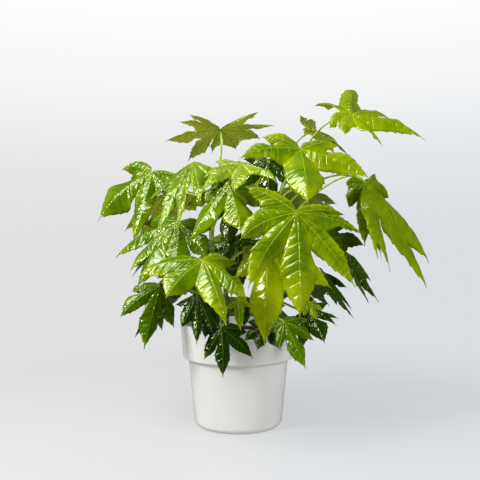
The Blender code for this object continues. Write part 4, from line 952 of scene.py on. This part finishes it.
def blade_mesh(palm, tone):
    """The blade's sheet as a mesh, with its halves and lobes welded together along their seams."""
    points, faces, places, gaps = palm.sheet()
    mesh = bpy.data.meshes.new("blade")
    mesh.from_pydata(points.tolist(), [], faces.tolist())
    mesh.attributes.new("blade", "FLOAT_VECTOR", "POINT").data.foreach_set("vector", places.ravel())
    mesh.attributes.new("rib_gap", "FLOAT", "POINT").data.foreach_set("value", gaps)
    # Each leaf carries its tone setting, partly painted light and shade, for its finish to read.
    mesh.attributes.new("tone", "FLOAT", "POINT").data.foreach_set("value", np.full(len(points), tone))
    sheet = bmesh.new()
    sheet.from_mesh(mesh)
    bmesh.ops.remove_doubles(sheet, verts=sheet.verts, dist=WELD)
    for face in sheet.faces:
        face.smooth = True
    sheet.to_mesh(mesh)
    sheet.free()
    return mesh


def leaf_piece(number, row, finishes):
    """A blade with two faces and a thickness, and its stalk."""
    palm = Palm(row)
    stalk = tube("stalk", palm.stalk_line(), palm.stalk_radii(), STALK_SIDES_SETTING)
    stalk.data.materials.append(finishes[2])
    stalk.data.shade_smooth()
    blade = bpy.data.objects.new(f"fatsia_leaf_{number:02d}", blade_mesh(palm, row["tone"]))
    bpy.context.scene.collection.objects.link(blade)
    blade.data.materials.append(finishes[0])
    blade.data.materials.append(finishes[1])
    start_alone()
    blade.select_set(True)
    bpy.context.view_layer.objects.active = blade
    thickness = blade.modifiers.new("Thickness", "SOLIDIFY")
    thickness.thickness = BLADE_THICKNESS
    thickness.offset = 0.0
    thickness.material_offset = 1
    bpy.ops.object.modifier_apply(modifier=thickness.name)
    stalk.select_set(True)
    bpy.ops.object.join()
    return blade


finishes = {age: (upper_face(age), under_face(age), stalk_skin(age)) for age in GREENS}
for number, row in enumerate(LEAVES, start=1):
    piece = leaf_piece(number, row, finishes[row["age"]])
    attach(piece, "root")
    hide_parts(f"leaf_{number:02d}")


# The studio: a wide floor that glows with the backdrop's colour and fades into it, a small strong softbox
# at the upper left, a broad one above, and a weaker one at the right. Nothing mirrors the floor or that
# weaker softbox, and the backdrop is mirrored faintly. The camera is level with the middle of the whole.
FLOOR_RADIUS = 7.0
FLOOR_FADE = (0.35, 1.1)
FLOOR_COLOUR = (0.14, 0.14, 0.143, 1.0)
FLOOR_GLOW = 0.70
LEFT_HORIZON = (0.750, 0.750, 0.738, 1.0)
RIGHT_HORIZON = (0.695, 0.730, 0.765, 1.0)
ZENITH = (1.0, 1.0, 1.0, 1.0)
FRONT_GLOW = 0.22
BACK_GLOW = 0.85
REFLECTED_SHARE = 0.08
SOFTBOXES = (
    ("key", (-1.45, -1.15, 1.36), (0.55, 0.65), 46.0),
    ("fill", (1.6, -1.2, 1.1), (0.6, 0.8), 28.0),
    ("top", (-0.62, -0.56, 1.72), (1.1, 0.8), 29.0),
)
AIM = Vector((0.03, -0.03, 0.33))
CAMERA_PLACE = (0.003, -1.142, 0.317)
CAMERA_LENS = 46.5
CAMERA_RISE = 0.92


def horizon(way):
    """The backdrop's colour low down: a little warmer at the left, cooler at the right."""
    return way.part(0).ramp(-0.35, 0.35).mix(LEFT_HORIZON, RIGHT_HORIZON)


start_alone()
bpy.ops.mesh.primitive_circle_add(vertices=96, radius=FLOOR_RADIUS, fill_type="NGON")
floor = bpy.context.active_object
floor.name = "pale_floor"
material, tree, sockets = new_material("floor_pale")
place = tree.place()
far = tree.add("VectorMath", {"operation": "LENGTH"}, {0: place}, "Value")
sight = tree.add("VectorMath", {"operation": "SUBTRACT"}, {0: place, 1: CAMERA_PLACE})
sight = tree.add("VectorMath", {"operation": "NORMALIZE"}, {0: sight})
backing = horizon(sight)
shine = tree.add("Emission", {}, {"Color": backing, "Strength": 1.0})
feed(tree, sockets, base_color=FLOOR_COLOUR, roughness=0.6, emission_color=backing,
     emission_strength=FLOOR_GLOW)
matt = Shade(tree.tree, tree.tree.nodes["Principled BSDF"].outputs[0])
both = tree.add("MixShader", {}, {0: far.ramp(*FLOOR_FADE), 1: matt, 2: shine})
tree.tree.links.new(both.socket, tree.tree.nodes["Material Output"].inputs["Surface"])
floor.data.materials.append(material)
floor.visible_glossy = False

world = bpy.data.worlds.new("studio")
bpy.context.scene.world = world
world.use_nodes = True
sky = Shade(world.node_tree)
ray = sky.add("LightPath", {}, {}, "Is Camera Ray")
way = sky.add("TexCoord", {}, {}, "Generated")
seen = way.part(2).ramp(0.0, 0.42).mix(horizon(way), ZENITH)
glow = way.part(1).ramp(-0.3, 0.6, FRONT_GLOW, BACK_GLOW)
mirrored = sky.add("LightPath", {}, {}, "Is Glossy Ray")
glow = glow * (1 - mirrored * (1 - REFLECTED_SHARE))
backdrop = sky.add("Background", {}, {"Color": seen, "Strength": ray + (1 - ray) * glow})
world.node_tree.links.new(backdrop.socket, world.node_tree.nodes["World Output"].inputs["Surface"])

for name, place, size, power in SOFTBOXES:
    light = bpy.data.lights.new(f"softbox_{name}", "AREA")
    light.shape = "RECTANGLE"
    light.size, light.size_y = size
    light.energy = power
    lamp = bpy.data.objects.new(light.name, light)
    lamp.visible_glossy = name != "fill"
    lamp.location = place
    lamp.rotation_euler = (AIM - Vector(place)).to_track_quat("-Z", "Y").to_euler()
    bpy.context.scene.collection.objects.link(lamp)

camera = bpy.data.objects.new("camera", bpy.data.cameras.new("camera"))
camera.data.lens = CAMERA_LENS
camera.location = CAMERA_PLACE
camera.rotation_euler = (math.radians(90 + CAMERA_RISE), 0, 0)
bpy.context.scene.collection.objects.link(camera)
bpy.context.scene.camera = camera
bpy.context.scene.view_settings.view_transform = "Standard"
